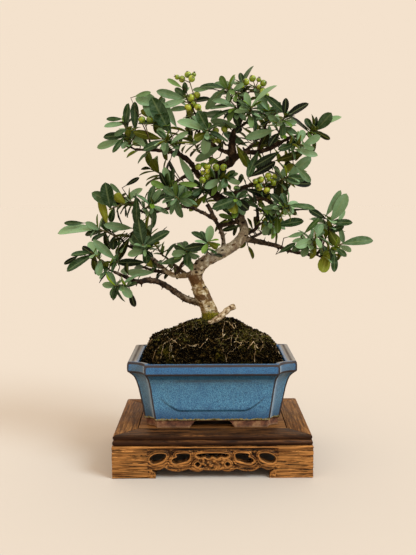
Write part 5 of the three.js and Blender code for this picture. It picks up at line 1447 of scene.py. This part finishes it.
def berry_finish():
    """Green skin, yellower in broad patches, with faint pale dots and a soft bloom."""
    finish, tree, shader = new_finish("berry_skin", 0.3)
    place = object_place(tree)
    broad = grain(tree, place, 120, 2, 0.5)
    dots = grain(tree, place, 1500, 2, 0.6)
    body = ramp(tree, broad, [(0.35, (88, 108, 10)), (0.5, (126, 142, 20)), (0.68, (168, 172, 44))])
    colour = blend(tree, ramp(tree, dots, [(0.62, 0), (0.74, 0.5)]), body, (158, 164, 86))
    shader.inputs["Subsurface Weight"].default_value = 0.12
    shader.inputs["Subsurface Radius"].default_value = (0.002, 0.0025, 0.001)
    dress(tree, shader, colour, dots, 0.12, 0.1)
    return finish


CALYX_TONES = [(0.35, (28, 20, 12)), (0.7, (84, 62, 34))]
STALK_TONES = [(0.35, (50, 38, 14)), (0.55, (84, 78, 24)), (0.75, (116, 90, 42))]
berry_skin = berry_finish()
calyx_skin = plain_finish("calyx", 900, 3, 0.85, CALYX_TONES)
stalk_skin = plain_finish("stalk", 260, 3, 0.6, STALK_TONES)
berry_draw = random.Random(71)
for name, limb, point, stalk, berries in BUNCHES:
    rows = [(*place, STALK_RADIUS * 0.75) for place in stalk]
    stalk_paths = [stations_along(rows, 2.0)]
    bunch = bmesh.new()
    sized = [(Vector(center), BERRY_RADIUS * berry_draw.uniform(0.93, 1.0)) for center in berries]
    for _ in range(SMALL_BERRIES.get(name, 0)):
        beside, size = berry_draw.choice(sized[:len(berries)])
        small = BERRY_RADIUS * berry_draw.uniform(0.6, 0.8)
        for _ in range(12):
            way = Vector((berry_draw.gauss(0, 1), berry_draw.gauss(-0.3, 0.7), berry_draw.gauss(-0.2, 1)))
            middle = beside + way.normalized() * (size + small)
            if all((middle - other).length > small + other_size - 0.1 for other, other_size in sized):
                sized.append((middle, small))
                break
    for middle, size in sized:
        root = min((Vector(row[:3]) for row in rows[1:]), key=lambda place: (place - middle).length)
        away = (middle - root).normalized()
        outward = away + Vector((berry_draw.uniform(-0.3, 0.3), -0.5, berry_draw.uniform(-0.4, 0.4)))
        stalk_paths.append([(root, 0.55), (middle - away * 2, 0.42)])
        sepals = add_berry(bunch, middle, outward, size)
        for face in {face for vert in sepals for face in vert.link_faces}:
            face.material_index = 1
    add_stems(bunch, stalk_paths)
    skins = [berry_skin, calyx_skin, stalk_skin]
    add_piece(f"bunch_{name}", bunch, skins, [f"berries_{name}"], crease=60)

# Leaves: narrow elliptic blades on short stalks, folded a little along the midrib and curved back, dark
# bluish green above and olive below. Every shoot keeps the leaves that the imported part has, in the same
# places, and carries smaller ones between them.
DEGREE = math.pi / 180
GOLDEN_ANGLE = 137.5
COMMON_PAINTED_LIGHT = 0.46
NEARBY = 45
BERRY_REACH = 3.9
DRAW_FACTOR = 48271
DRAW_SPAN = 2147483647
LEAST_WIDTH_RATIO = 0.34
LEAF_FOLD = 0.28
PETIOLE_HALF_WIDTH = 0.35
LEAF_CLEARANCE = 3.2
OWN_CLEARANCE = 1.5
WOOD_CLEARANCE = 2
STALK_SHARE = 0.25
STALK_EASE = 1.1
OWN_STALK_SHARE = 0.45
LEAF_TURNS = [
    (0, 0), (0, 14), (0, -14), (9, 0), (-9, 0), (9, 14), (-9, 14), (9, -14), (-9, -14), (0, 28), (0, -28),
    (18, 10), (-18, 10), (18, -14), (-18, -14), (26, 24), (-26, 24), (26, -30), (-26, -30),
]
FRONT_LIMIT = 66
SAMPLE_SHARES = (0.16, 0.3, 0.45, 0.6, 0.75, 0.9, 1)
SAMPLE_SIDES = (-0.8, 0, 0.8)
NO_SHARE = -1.0
ROOM_SLOTS = 60000


class Leaf:
    """A leaf's frame and form, in millimetres."""

    def __init__(self, origin, direction, normal, length, width, bend, young, light):
        self.origin = origin
        self.direction = direction
        self.normal = normal
        self.side = normal.cross(direction)
        self.length = length
        self.width = width
        self.bend = bend
        self.young = young
        # The light level that the leaf's tone is drawn round: painted light, low for the inner leaves as
        # painted shade.
        self.light = light

    def point(self, share, across):
        half = max(self.width / 2 * leaf_outline(share), PETIOLE_HALF_WIDTH if share < 1 else 0)
        rise = LEAF_FOLD * half * abs(across) - self.bend * self.length * share ** 2
        along = self.origin + self.direction * (self.length * share)
        return along + self.side * (half * across) + self.normal * rise


def leaf_outline(share):
    """Half width as a share of the widest: a thin stalk, widest past the middle, a blunt tip."""
    return share * (1 - share) ** 0.6 / (0.625 * 0.375 ** 0.6)


class Room:
    """What is already taken round the tree: points, the distance kept to them and whose they are."""

    def __init__(self):
        self.points = np.zeros((ROOM_SLOTS, 3))
        self.reach = np.zeros(ROOM_SLOTS)
        self.share = np.zeros(ROOM_SLOTS)
        self.owner = np.zeros(ROOM_SLOTS, int)
        self.count = 0

    def take(self, point, reach, owner, share=NO_SHARE):
        self.points[self.count] = point
        self.reach[self.count] = reach
        self.share[self.count] = share
        self.owner[self.count] = owner
        self.count += 1

    def is_clear(self, points, shares, owner, ease=0.0):
        """Whether a leaf's sample points keep their distance. Its own shoot's wood is no obstacle."""
        others = self.points[:self.count]
        middle = points.mean(0)
        near = ((others - middle) ** 2).sum(1) < NEARBY ** 2
        others, reach = others[near], self.reach[:self.count][near]
        other_share, others_owner = self.share[:self.count][near], self.owner[:self.count][near]
        gaps = ((others[None] - points[:, None]) ** 2).sum(2)
        own = (others_owner == owner)[None]
        ignored = own & ((other_share[None] == NO_SHARE) | (shares[:, None] < OWN_STALK_SHARE))
        kept = np.where(own, OWN_CLEARANCE, reach[None] * (1 - ease))
        kept = kept - np.where(shares[:, None] < STALK_SHARE, STALK_EASE, 0)
        return not ((gaps < np.maximum(kept, 0) ** 2) & ~ignored).any()


def leaf_samples(leaf):
    pairs = [(share, across) for share in SAMPLE_SHARES for across in SAMPLE_SIDES]
    points = np.array([leaf.point(share, across) for share, across in pairs])
    return points, np.array([share for share, _ in pairs])


def seeded_draws(seed):
    state = seed
    while True:
        state = (state * DRAW_FACTOR) % DRAW_SPAN
        yield state / DRAW_SPAN


def turned_leaf(wanted, turn_heading=0, turn_lean=0):
    """A leaf turned until its blade shows the width seen from the front, or faces its shoot's end."""
    heading = (wanted["heading"] + turn_heading) * DEGREE
    lean = (wanted["lean"] + turn_lean) * DEGREE
    level_share = math.cos(lean)
    direction = Vector((level_share * math.cos(heading), -math.sin(lean), level_share * math.sin(heading)))
    normal = square_to(wanted["axis"] * 0.7 + Vector((0, 0, 0.45)), direction)
    if wanted["seen"] is not None:
        facing = square_to(Vector((0, -1, 0)), direction)
        sideways = direction.cross(facing)
        share = min(1, abs(wanted["seen"]) / wanted["width"])
        turn = math.sqrt(1 - share * share) * (1 if sideways.z >= 0 else -1)
        normal = facing * share * math.copysign(1, wanted["seen"]) + sideways * turn
    return Leaf(wanted["origin"], direction, normal, wanted["length"], wanted["width"], wanted["bend"],
                wanted["young"], wanted["light"])


def asked(origin, heading, lean, length, seen, width, bend, axis, young=0.0, light=COMMON_PAINTED_LIGHT):
    """What a leaf asks for: angles in degrees, and the width to be seen from the front or none."""
    return {
        "origin": origin, "heading": heading, "lean": lean, "length": length, "seen": seen, "width": width,
        "bend": bend, "axis": axis, "young": young, "light": light,
    }


def wish(origin, way, length, width, bend, axis, young, light=COMMON_PAINTED_LIGHT):
    """What a leaf asks for that points one way and faces its shoot's end."""
    heading = math.atan2(way.z, way.x) / DEGREE
    lean = math.asin(max(-1, min(1, -way.y))) / DEGREE
    return asked(origin, heading, lean, length, None, width, bend, axis, young, light)


def wanted_leaves(number, rows, listed, count):
    """The leaves that a shoot asks for: the listed ones, then those that its rule adds."""
    draw = seeded_draws(7919 * (number + 3))
    next(draw)
    points = [Vector(row[:3]) for row in rows]
    axis = (points[-1] - points[0]).normalized()
    span = len(points) - 1
    first = []
    for i, (heading, lean, length, seen) in enumerate(listed):
        origin = spline_point(points, (0.04 + 0.88 * (i + 1) / len(listed)) * span)
        width = max(abs(seen), LEAST_WIDTH_RATIO * length)
        first.append(asked(origin, heading, lean, length, seen, width, 0.06 + 0.15 * next(draw), axis))
    away = square_to(Vector((0, 1, 0)), axis)
    beside = axis.cross(away)
    ruled = []
    for i in range(count):
        share = (i + 0.6) / count
        angle = (i * GOLDEN_ANGLE + 30 * (next(draw) - 0.5)) * DEGREE
        opening = (70 - 30 * share + 14 * (next(draw) - 0.5)) * DEGREE
        radial = away * math.cos(angle) + beside * math.sin(angle)
        direction = axis * math.cos(opening) + radial * math.sin(opening)
        length = 18 + 10 * next(draw)
        if listed:
            heading, lean = angle / DEGREE, -15 - 45 * next(draw)
        else:
            heading, lean = math.atan2(direction.z, direction.x) / DEGREE, math.asin(-direction.y) / DEGREE
        ruled.append(asked(spline_point(points, (0.08 + 0.84 * share) * span), heading, lean, length, None,
                           length * (0.32 + 0.08 * next(draw)), 0.06 + 0.15 * next(draw), axis))
    return first, ruled


room_taken = Room()
WOOD = -1
owners = {name: index for index, name in enumerate(carried_rows)}
for rows in LIMBS.values():
    for point, radius in stations_along(rows, 3):
        room_taken.take(point, radius + WOOD_CLEARANCE, WOOD)
for name, (_, _, rows) in carried_rows.items():
    for point, radius in stations_along(twig_lines[name], 3):
        room_taken.take(point, radius + WOOD_CLEARANCE, WOOD)
    for point, radius in stations_along(rows, 3):
        room_taken.take(point, radius + LEAF_CLEARANCE - 1, owners[name])
for name, _, _, _, berries in BUNCHES:
    for center in berries:
        room_taken.take(center, BERRY_REACH + WOOD_CLEARANCE, owners[f"berries_{name}"])


def place_leaf(wanted, owner, turns=LEAF_TURNS, ease=0.0, limit=FRONT_LIMIT):
    """Turns a leaf until it is clear of what is already there. One that finds no room is left out."""
    for heading, lean in turns:
        leaf = turned_leaf(wanted, heading, lean)
        points, shares = leaf_samples(leaf)
        if np.abs(points[:, 1]).max() < limit and room_taken.is_clear(points, shares, owner, ease):
            for point, share in zip(points, shares):
                room_taken.take(point, LEAF_CLEARANCE, owner, share)
            return leaf
    return None


wanted_by_shoot = []
for number, (name, limb, point, base, tip, listed, count) in enumerate(SHOOTS):
    wanted_by_shoot.append(wanted_leaves(number, shoot_rows(base, tip), listed, count))
leaves = {f"spray_{shoot[0]}": [] for shoot in SHOOTS}
for (first, _), key in zip(wanted_by_shoot, leaves):
    leaves[key] += [place_leaf(wanted, owners[key]) for wanted in first]
for (_, ruled), key in zip(wanted_by_shoot, leaves):
    leaves[key] += [place_leaf(wanted, owners[key]) for wanted in ruled]
leaves = {key: [leaf for leaf in found if leaf] for key, found in leaves.items()}

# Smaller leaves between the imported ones: young blades of 9 to 20 mm that fill each shoot out. They grow
# from the shoot itself and from the end of its twig.
EXTRA_TRIES = 34
EXTRA_PER_SHOOT = 13
extra_draw = random.Random(97)
for key, found in leaves.items():
    _, _, rows = carried_rows[key]
    shoot_points = [Vector(row[:3]) for row in rows]
    twig_points = [Vector(row[:3]) for row in twig_lines[key]]
    axis = (shoot_points[-1] - shoot_points[0]).normalized()
    grown = 0
    for _ in range(EXTRA_TRIES):
        if grown == EXTRA_PER_SHOOT:
            break
        if extra_draw.random() < 0.62:
            origin = spline_point(shoot_points, extra_draw.uniform(0.0, 2.0))
        else:
            origin = spline_point(twig_points, extra_draw.uniform(0.7, 2.0))
        around = Vector((extra_draw.gauss(0, 1), extra_draw.gauss(-0.25, 1), extra_draw.gauss(0.1, 1)))
        radial = square_to(around, axis)
        opening = extra_draw.uniform(35, 95) * DEGREE
        direction = axis * math.cos(opening) + radial * math.sin(opening)
        length = extra_draw.triangular(9, 20, 13)
        wanted = wish(origin, direction, length, length * extra_draw.uniform(0.34, 0.46),
                      extra_draw.uniform(0.04, 0.22), axis, extra_draw.random() ** 3)
        leaf = place_leaf(wanted, owners[key], LEAF_TURNS[:5], 0.5, FRONT_LIMIT - 1)
        if leaf:
            found.append(leaf)
            grown += 1

# Leaves on short spurs of the branches, between the shoots: the middle of each as it is seen on the
# tree's middle plane (x, z), its heading, length and width. Each stands at the depth of the wood next to it.
SPUR_LEAVES = [
    (-51, 364, 118, 42, 20),
    (-149, 215, 30, 17, 6), (-145, 254, 0, 21, 7), (-114, 266, 105, 30, 11), (-113, 226, 135, 30, 11),
    (-107, 337, 15, 30, 10), (-104, 210, 75, 21, 7), (-100, 362, 180, 17, 6), (-100, 289, 135, 17, 6),
    (-98, 252, 345, 30, 11), (-95, 335, 240, 21, 7), (-94, 226, 60, 30, 11), (-85, 212, 0, 30, 11),
    (-83, 297, 210, 17, 6), (-79, 364, 90, 30, 11), (-79, 267, 90, 30, 11), (-77, 342, 315, 30, 11),
    (-76, 201, 180, 30, 11), (-71, 387, 195, 17, 6), (-66, 345, 165, 30, 11), (-43, 366, 300, 30, 11),
    (-43, 213, 15, 25, 9), (-41, 386, 165, 30, 11), (-38, 378, 15, 25, 9), (-37, 398, 330, 17, 6),
    (-26, 310, 300, 30, 10), (-25, 293, 165, 21, 7), (-15, 274, 45, 25, 9), (-10, 392, 180, 17, 6),
    (-3, 326, 210, 30, 11), (5, 383, 45, 30, 11), (15, 356, 165, 30, 11), (16, 260, 345, 17, 7),
    (22, 248, 195, 21, 7), (25, 341, 330, 30, 11), (34, 322, 300, 30, 11), (42, 315, 60, 30, 11),
    (50, 285, 165, 30, 10), (52, 346, 195, 30, 11), (54, 309, 210, 30, 11), (59, 320, 30, 30, 11),
    (66, 376, 315, 30, 10), (80, 226, 210, 21, 7), (82, 322, 15, 30, 11), (85, 349, 150, 17, 7),
    (89, 240, 15, 17, 6), (96, 294, 0, 21, 9), (97, 304, 315, 21, 9), (99, 327, 165, 25, 9),
    (106, 249, 225, 21, 7), (113, 262, 330, 21, 9), (117, 344, 330, 17, 7), (129, 273, 240, 30, 10),
    (131, 212, 270, 21, 9), (138, 242, 105, 21, 7), (138, 259, 240, 17, 6),
]
SPUR_DEPTHS = (4, 9, 15, 22, -4, 30, -10)
SPUR_TURNS = [(0, 8), (0, -8), (7, 20), (-7, 20), (0, 32), (12, -20), (-12, -20)]
SPUR_RADIUS = 0.5
SPUR_SLIMNESS = 0.8
SPUR_PARTS = 4
VIEW_POINT = (VIEW_TARGET + back * VIEW_DISTANCE) / MM


def at_depth(point, depth):
    """The point with the depth given on the line of sight through another point, in millimetres."""
    return VIEW_POINT + (point - VIEW_POINT) * ((depth - VIEW_POINT.y) / (point.y - VIEW_POINT.y))


wood_points = [point for path in limb_paths.values() for point, _ in path]
wood_points += [point for rows in twig_lines.values() for point, _ in stations_along(rows, 2.0)]
sight_tree = search_tree([at_depth(point, 0) for point in wood_points])
spur_leaves = []
spur_lines = []
for number, (x, z, heading, length, width) in enumerate(SPUR_LEAVES):
    middle = Vector((x, 0, z))
    way = Vector((math.cos(heading * DEGREE), 0, math.sin(heading * DEGREE)))
    ends = [(sight_tree.find(middle - turned_way * length / 2), turned_way) for turned_way in (way, -way)]
    (_, nearest, _), way = min(ends, key=lambda end: end[0][2])
    foot = middle - way * length / 2
    heading = math.atan2(way.z, way.x) / DEGREE
    wood = wood_points[nearest]
    for depth in SPUR_DEPTHS:
        origin = at_depth(foot, wood.y - depth)
        slim = width * SPUR_SLIMNESS
        seen = -slim if number % 8 == 3 else slim
        wanted = asked(origin, heading, 0, length, seen, slim, extra_draw.uniform(0.06, 0.24), way,
                       extra_draw.random() ** 3)
        leaf = place_leaf(wanted, len(owners) + number, SPUR_TURNS, 0.6, FRONT_LIMIT - 1)
        if leaf:
            spur_leaves.append(leaf)
            lead = leaf.origin - leaf.direction * min(4, 0.3 * (leaf.origin - wood).length)
            widths = (SPUR_RADIUS * 1.4, SPUR_RADIUS, SPUR_RADIUS * 0.8)
            spur_lines.append(list(zip((wood, lead, leaf.origin), widths)))
            break

# Small leaves inside the crown, painted darker as painted shade: they grow close to the wood, along the limbs
# named here from a share of their length on, and along the shoots' twigs.
INNER_LIMBS = {
    "trunk": 0.84, "crown_left": 0.2, "crown_right": 0.0, "right_high": 0.15, "right_high_up": 0.0,
    "right_high_rise": 0.0, "right_mid": 0.35, "right_mid_fork": 0.25, "right_riser": 0.7, "left_high": 0.5,
    "left_mid": 0.55, "left_mid_fork": 0.4, "left_stub": 0.1, "left_low": 0.8, "left_high_fork": 0.5,
    "left_long": 0.8, "right_low": 0.85, "back_low_left": 0.5, "back_low_right": 0.5, "back_mid": 0.4,
    "back_mid_right": 0.4, "back_mid_left": 0.4, "back_high": 0.4, "back_high_right": 0.4, "knot_left": 0.3,
}
INNER_CHANCE = 0.62
TWIG_CHANCE = 0.2
# The light level of the inner leaves, low: painted shade inside the crown.
INNER_PAINTED_LIGHT = 0.16
inner_stations = []
for name, share in INNER_LIMBS.items():
    path = limb_paths[name]
    start = max(1, int(len(path) * share))
    inner_stations += [(spot, path, INNER_CHANCE) for spot in range(start, len(path) - 1)]
for rows in twig_lines.values():
    path = stations_along(rows, 2.0)
    inner_stations += [(spot, path, TWIG_CHANCE) for spot in range(len(path) // 3, len(path) - 1)]
for number, (spot, path, chance) in enumerate(inner_stations):
    if extra_draw.random() > chance:
        continue
    point, radius = path[spot]
    along = (path[spot + 1][0] - path[spot - 1][0]).normalized()
    around = Vector((extra_draw.gauss(0, 1), extra_draw.gauss(0, 1), extra_draw.gauss(0.2, 1)))
    out = square_to(around, along)
    way = (out + along * extra_draw.uniform(0, 0.9)).normalized()
    length = extra_draw.triangular(11, 23, 16)
    wanted = wish(point + out * (radius + extra_draw.uniform(1.5, 6)), way, length,
                  length * extra_draw.uniform(0.36, 0.46), extra_draw.uniform(0.04, 0.26), along,
                  extra_draw.random() ** 5, INNER_PAINTED_LIGHT)
    leaf = place_leaf(wanted, len(owners) + len(SPUR_LEAVES) + number, LEAF_TURNS[:5], 0.55, FRONT_LIMIT - 1)
    if leaf:
        spur_leaves.append(leaf)
        spur_lines.append([(point, SPUR_RADIUS * 1.3), (leaf.origin, SPUR_RADIUS)])

LEAF_PLACES = [0, 0.07, 0.2, 0.36, 0.54, 0.7, 0.84, 0.94, 1.0]
LEAF_ACROSS = 4
BLADE_THICKNESS = 0.38
TIP_HALF_WIDTH = 0.12


def blade_master():
    """One leaf as a thin shell from a grid: x runs along it, y across, z is 0 above and -1 below."""
    form = bmesh.new()
    bmesh.ops.create_grid(form, x_segments=len(LEAF_PLACES) - 1, y_segments=LEAF_ACROSS, size=1)
    along = form.loops.layers.uv.new("blade")
    for vert in form.verts:
        vert.co.x = LEAF_PLACES[round((vert.co.x + 1) / 2 * (len(LEAF_PLACES) - 1))]
    under = bmesh.ops.duplicate(form, geom=form.verts[:] + form.edges[:] + form.faces[:])["geom"]
    bmesh.ops.translate(form, verts=of_kind(under, bmesh.types.BMVert), vec=(0, 0, -1))
    bmesh.ops.reverse_faces(form, faces=of_kind(under, bmesh.types.BMFace))
    open_edges = [edge for edge in form.edges if edge.is_boundary]
    bmesh.ops.bridge_loops(form, edges=open_edges)
    bmesh.ops.recalc_face_normals(form, faces=form.faces)
    for face in form.faces:
        face.material_index = 1 if all(vert.co.z < -0.5 for vert in face.verts) else 0
        for loop in face.loops:
            loop[along].uv = (loop.vert.co.x, loop.vert.co.y / 2 + 0.5)
    return mesh_from("blade_master", form)


BLADE = blade_master()
leaf_draw = random.Random(41)


def add_blade(form, leaf, layer):
    """A finer blade in a leaf's place, with a little wave, twist and curl of its own."""
    start = len(form.verts)
    form.from_mesh(BLADE)
    form.verts.ensure_lookup_table()
    # Painted light: the tone rises the more the leaf faces the lamp, from the leaf's own light level.
    facing = leaf.normal.dot(-LAMP_AIM) * (1 if leaf.normal.y < 0.2 else 0.5)
    tone = min(1, max(0, leaf_draw.gauss(leaf.light + 0.36 * facing, 0.36)))
    wave = leaf_draw.uniform(0, 2 * math.pi)
    wave_size = leaf_draw.uniform(0.0, 0.05) * leaf.width
    twist = leaf_draw.uniform(-0.12, 0.12)
    curl = leaf_draw.uniform(0.7, 1.5)
    for vert in form.verts[start:]:
        share, across, below = vert.co
        least = PETIOLE_HALF_WIDTH if share < 0.98 else TIP_HALF_WIDTH
        half = max(leaf.width / 2 * leaf_outline(share), least)
        in_blade = math.sin(math.pi * share)
        from_tip = 1 - share
        thickness = BLADE_THICKNESS * (1 + 0.5 * (1 - abs(across)) * from_tip) * (0.55 + 0.45 * from_tip)
        rise = LEAF_FOLD * curl * half * abs(across) ** 1.3 - leaf.bend * leaf.length * share ** 2
        rise += wave_size * in_blade * abs(across) * math.sin(wave + share * 9 + (2 if across > 0 else 0))
        rise += twist * half * across * share + below * thickness
        place = (leaf.origin + leaf.direction * (leaf.length * share) + leaf.side * (half * across)
                 + leaf.normal * rise)
        vert.co = place * MM
        vert[layer[0]] = tone
        vert[layer[1]] = leaf.young if leaf.length < 22 else 0.0


def blades(group):
    """One form of the blades of a group of leaves."""
    form = bmesh.new()
    layers = (form.verts.layers.float.new("tone"), form.verts.layers.float.new("young"))
    form.loops.layers.uv.new("blade")
    for leaf in group:
        add_blade(form, leaf, layers)
    return form


def blade_finish(name, tones, rib_tone, young_tone, gloss, bump_way):
    """A leaf's skin with midrib and faint side veins, its tone drawn for each leaf: partly at random and
    partly painted light, lighter towards the lamp, darker inside the crown as painted shade, with painted
    sheen in patches.
    """
    finish, tree, shader = new_finish(name, specular=0.09)
    on_blade = add_node(tree, "UVMap", uv_map="blade").outputs["UV"]
    offset = maths(tree, "ABSOLUTE", maths(tree, "SUBTRACT", part_of(tree, on_blade, "Y"), 0.5))
    rib = spread(tree, offset, 0.035, 0.085, 1.0, 0.0)
    slant = maths(tree, "MULTIPLY_ADD", offset, -0.32, part_of(tree, on_blade, "X"))
    vein = spread(tree, maths(tree, "SINE", product(tree, slant, 62.0)), 0.8, 1.0)
    place = object_place(tree)
    patches = grain(tree, place, 190, 4, 0.6)
    fine = grain(tree, place, 1400, 3, 0.6)
    drawn = named(tree, "tone")
    body = ramp(tree, drawn, [(0.0, tones[0]), (0.5, tones[1]), (1.0, tones[2])])
    # Painted sheen: pale bluish-grey patches, stronger on the leaves painted lighter.
    painted_sheen_patches = product(tree, ramp(tree, patches, [(0.4, 0), (0.75, 0.6)]), drawn)
    clouded = blend(tree, painted_sheen_patches, body, tones[3])
    speckled = blend(tree, product(tree, ramp(tree, fine, [(0.55, 0), (0.75, 0.4)]), drawn), clouded,
                     tones[3])
    fresh = blend(tree, spread(tree, named(tree, "young"), 0.25, 0.9, high=0.85), speckled, young_tone)
    veined = blend(tree, product(tree, vein, 0.16), fresh, rib_tone)
    ribbed = blend(tree, product(tree, rib, 0.35), veined, rib_tone)
    tree.links.new(ramp(tree, patches, [(0.3, gloss), (0.8, gloss + 0.2)]), shader.inputs["Roughness"])
    dress(tree, shader, ribbed, maths(tree, "MULTIPLY_ADD", vein, 0.35, rib), bump_way, 0.25)
    return finish


upper_skin = blade_finish("leaf_upper", ((1, 6, 0), (27, 54, 10), (116, 146, 102), (126, 148, 122)),
                          (120, 134, 88), (98, 130, 26), 0.34, 0.35)
under_skin = blade_finish("leaf_under", ((22, 28, 1), (70, 80, 10), (118, 122, 32), (122, 124, 40)),
                          (140, 142, 70), (132, 152, 34), 0.55, -0.5)
spur_twigs = form_of(tube_mesh(spur_lines))
mark(spur_twigs, "pale", lambda place, normal: 0.08)
add_piece("spur_twigs", spur_twigs, [bark_skin])
for part in range(SPUR_PARTS):
    group = blades(spur_leaves[part::SPUR_PARTS])
    add_piece(f"spur_leaves_{part}", group, [upper_skin, under_skin], crease=70)
for key, found in leaves.items():
    spray = blades(found)
    add_stems(spray, [[(point, radius * 0.8) for point, radius in stations_along(carried_rows[key][2], 2.5)]])
    skins = [upper_skin, under_skin, stalk_skin]
    add_piece(key.replace("spray_", "leaves_"), spray, skins, [key], crease=70)
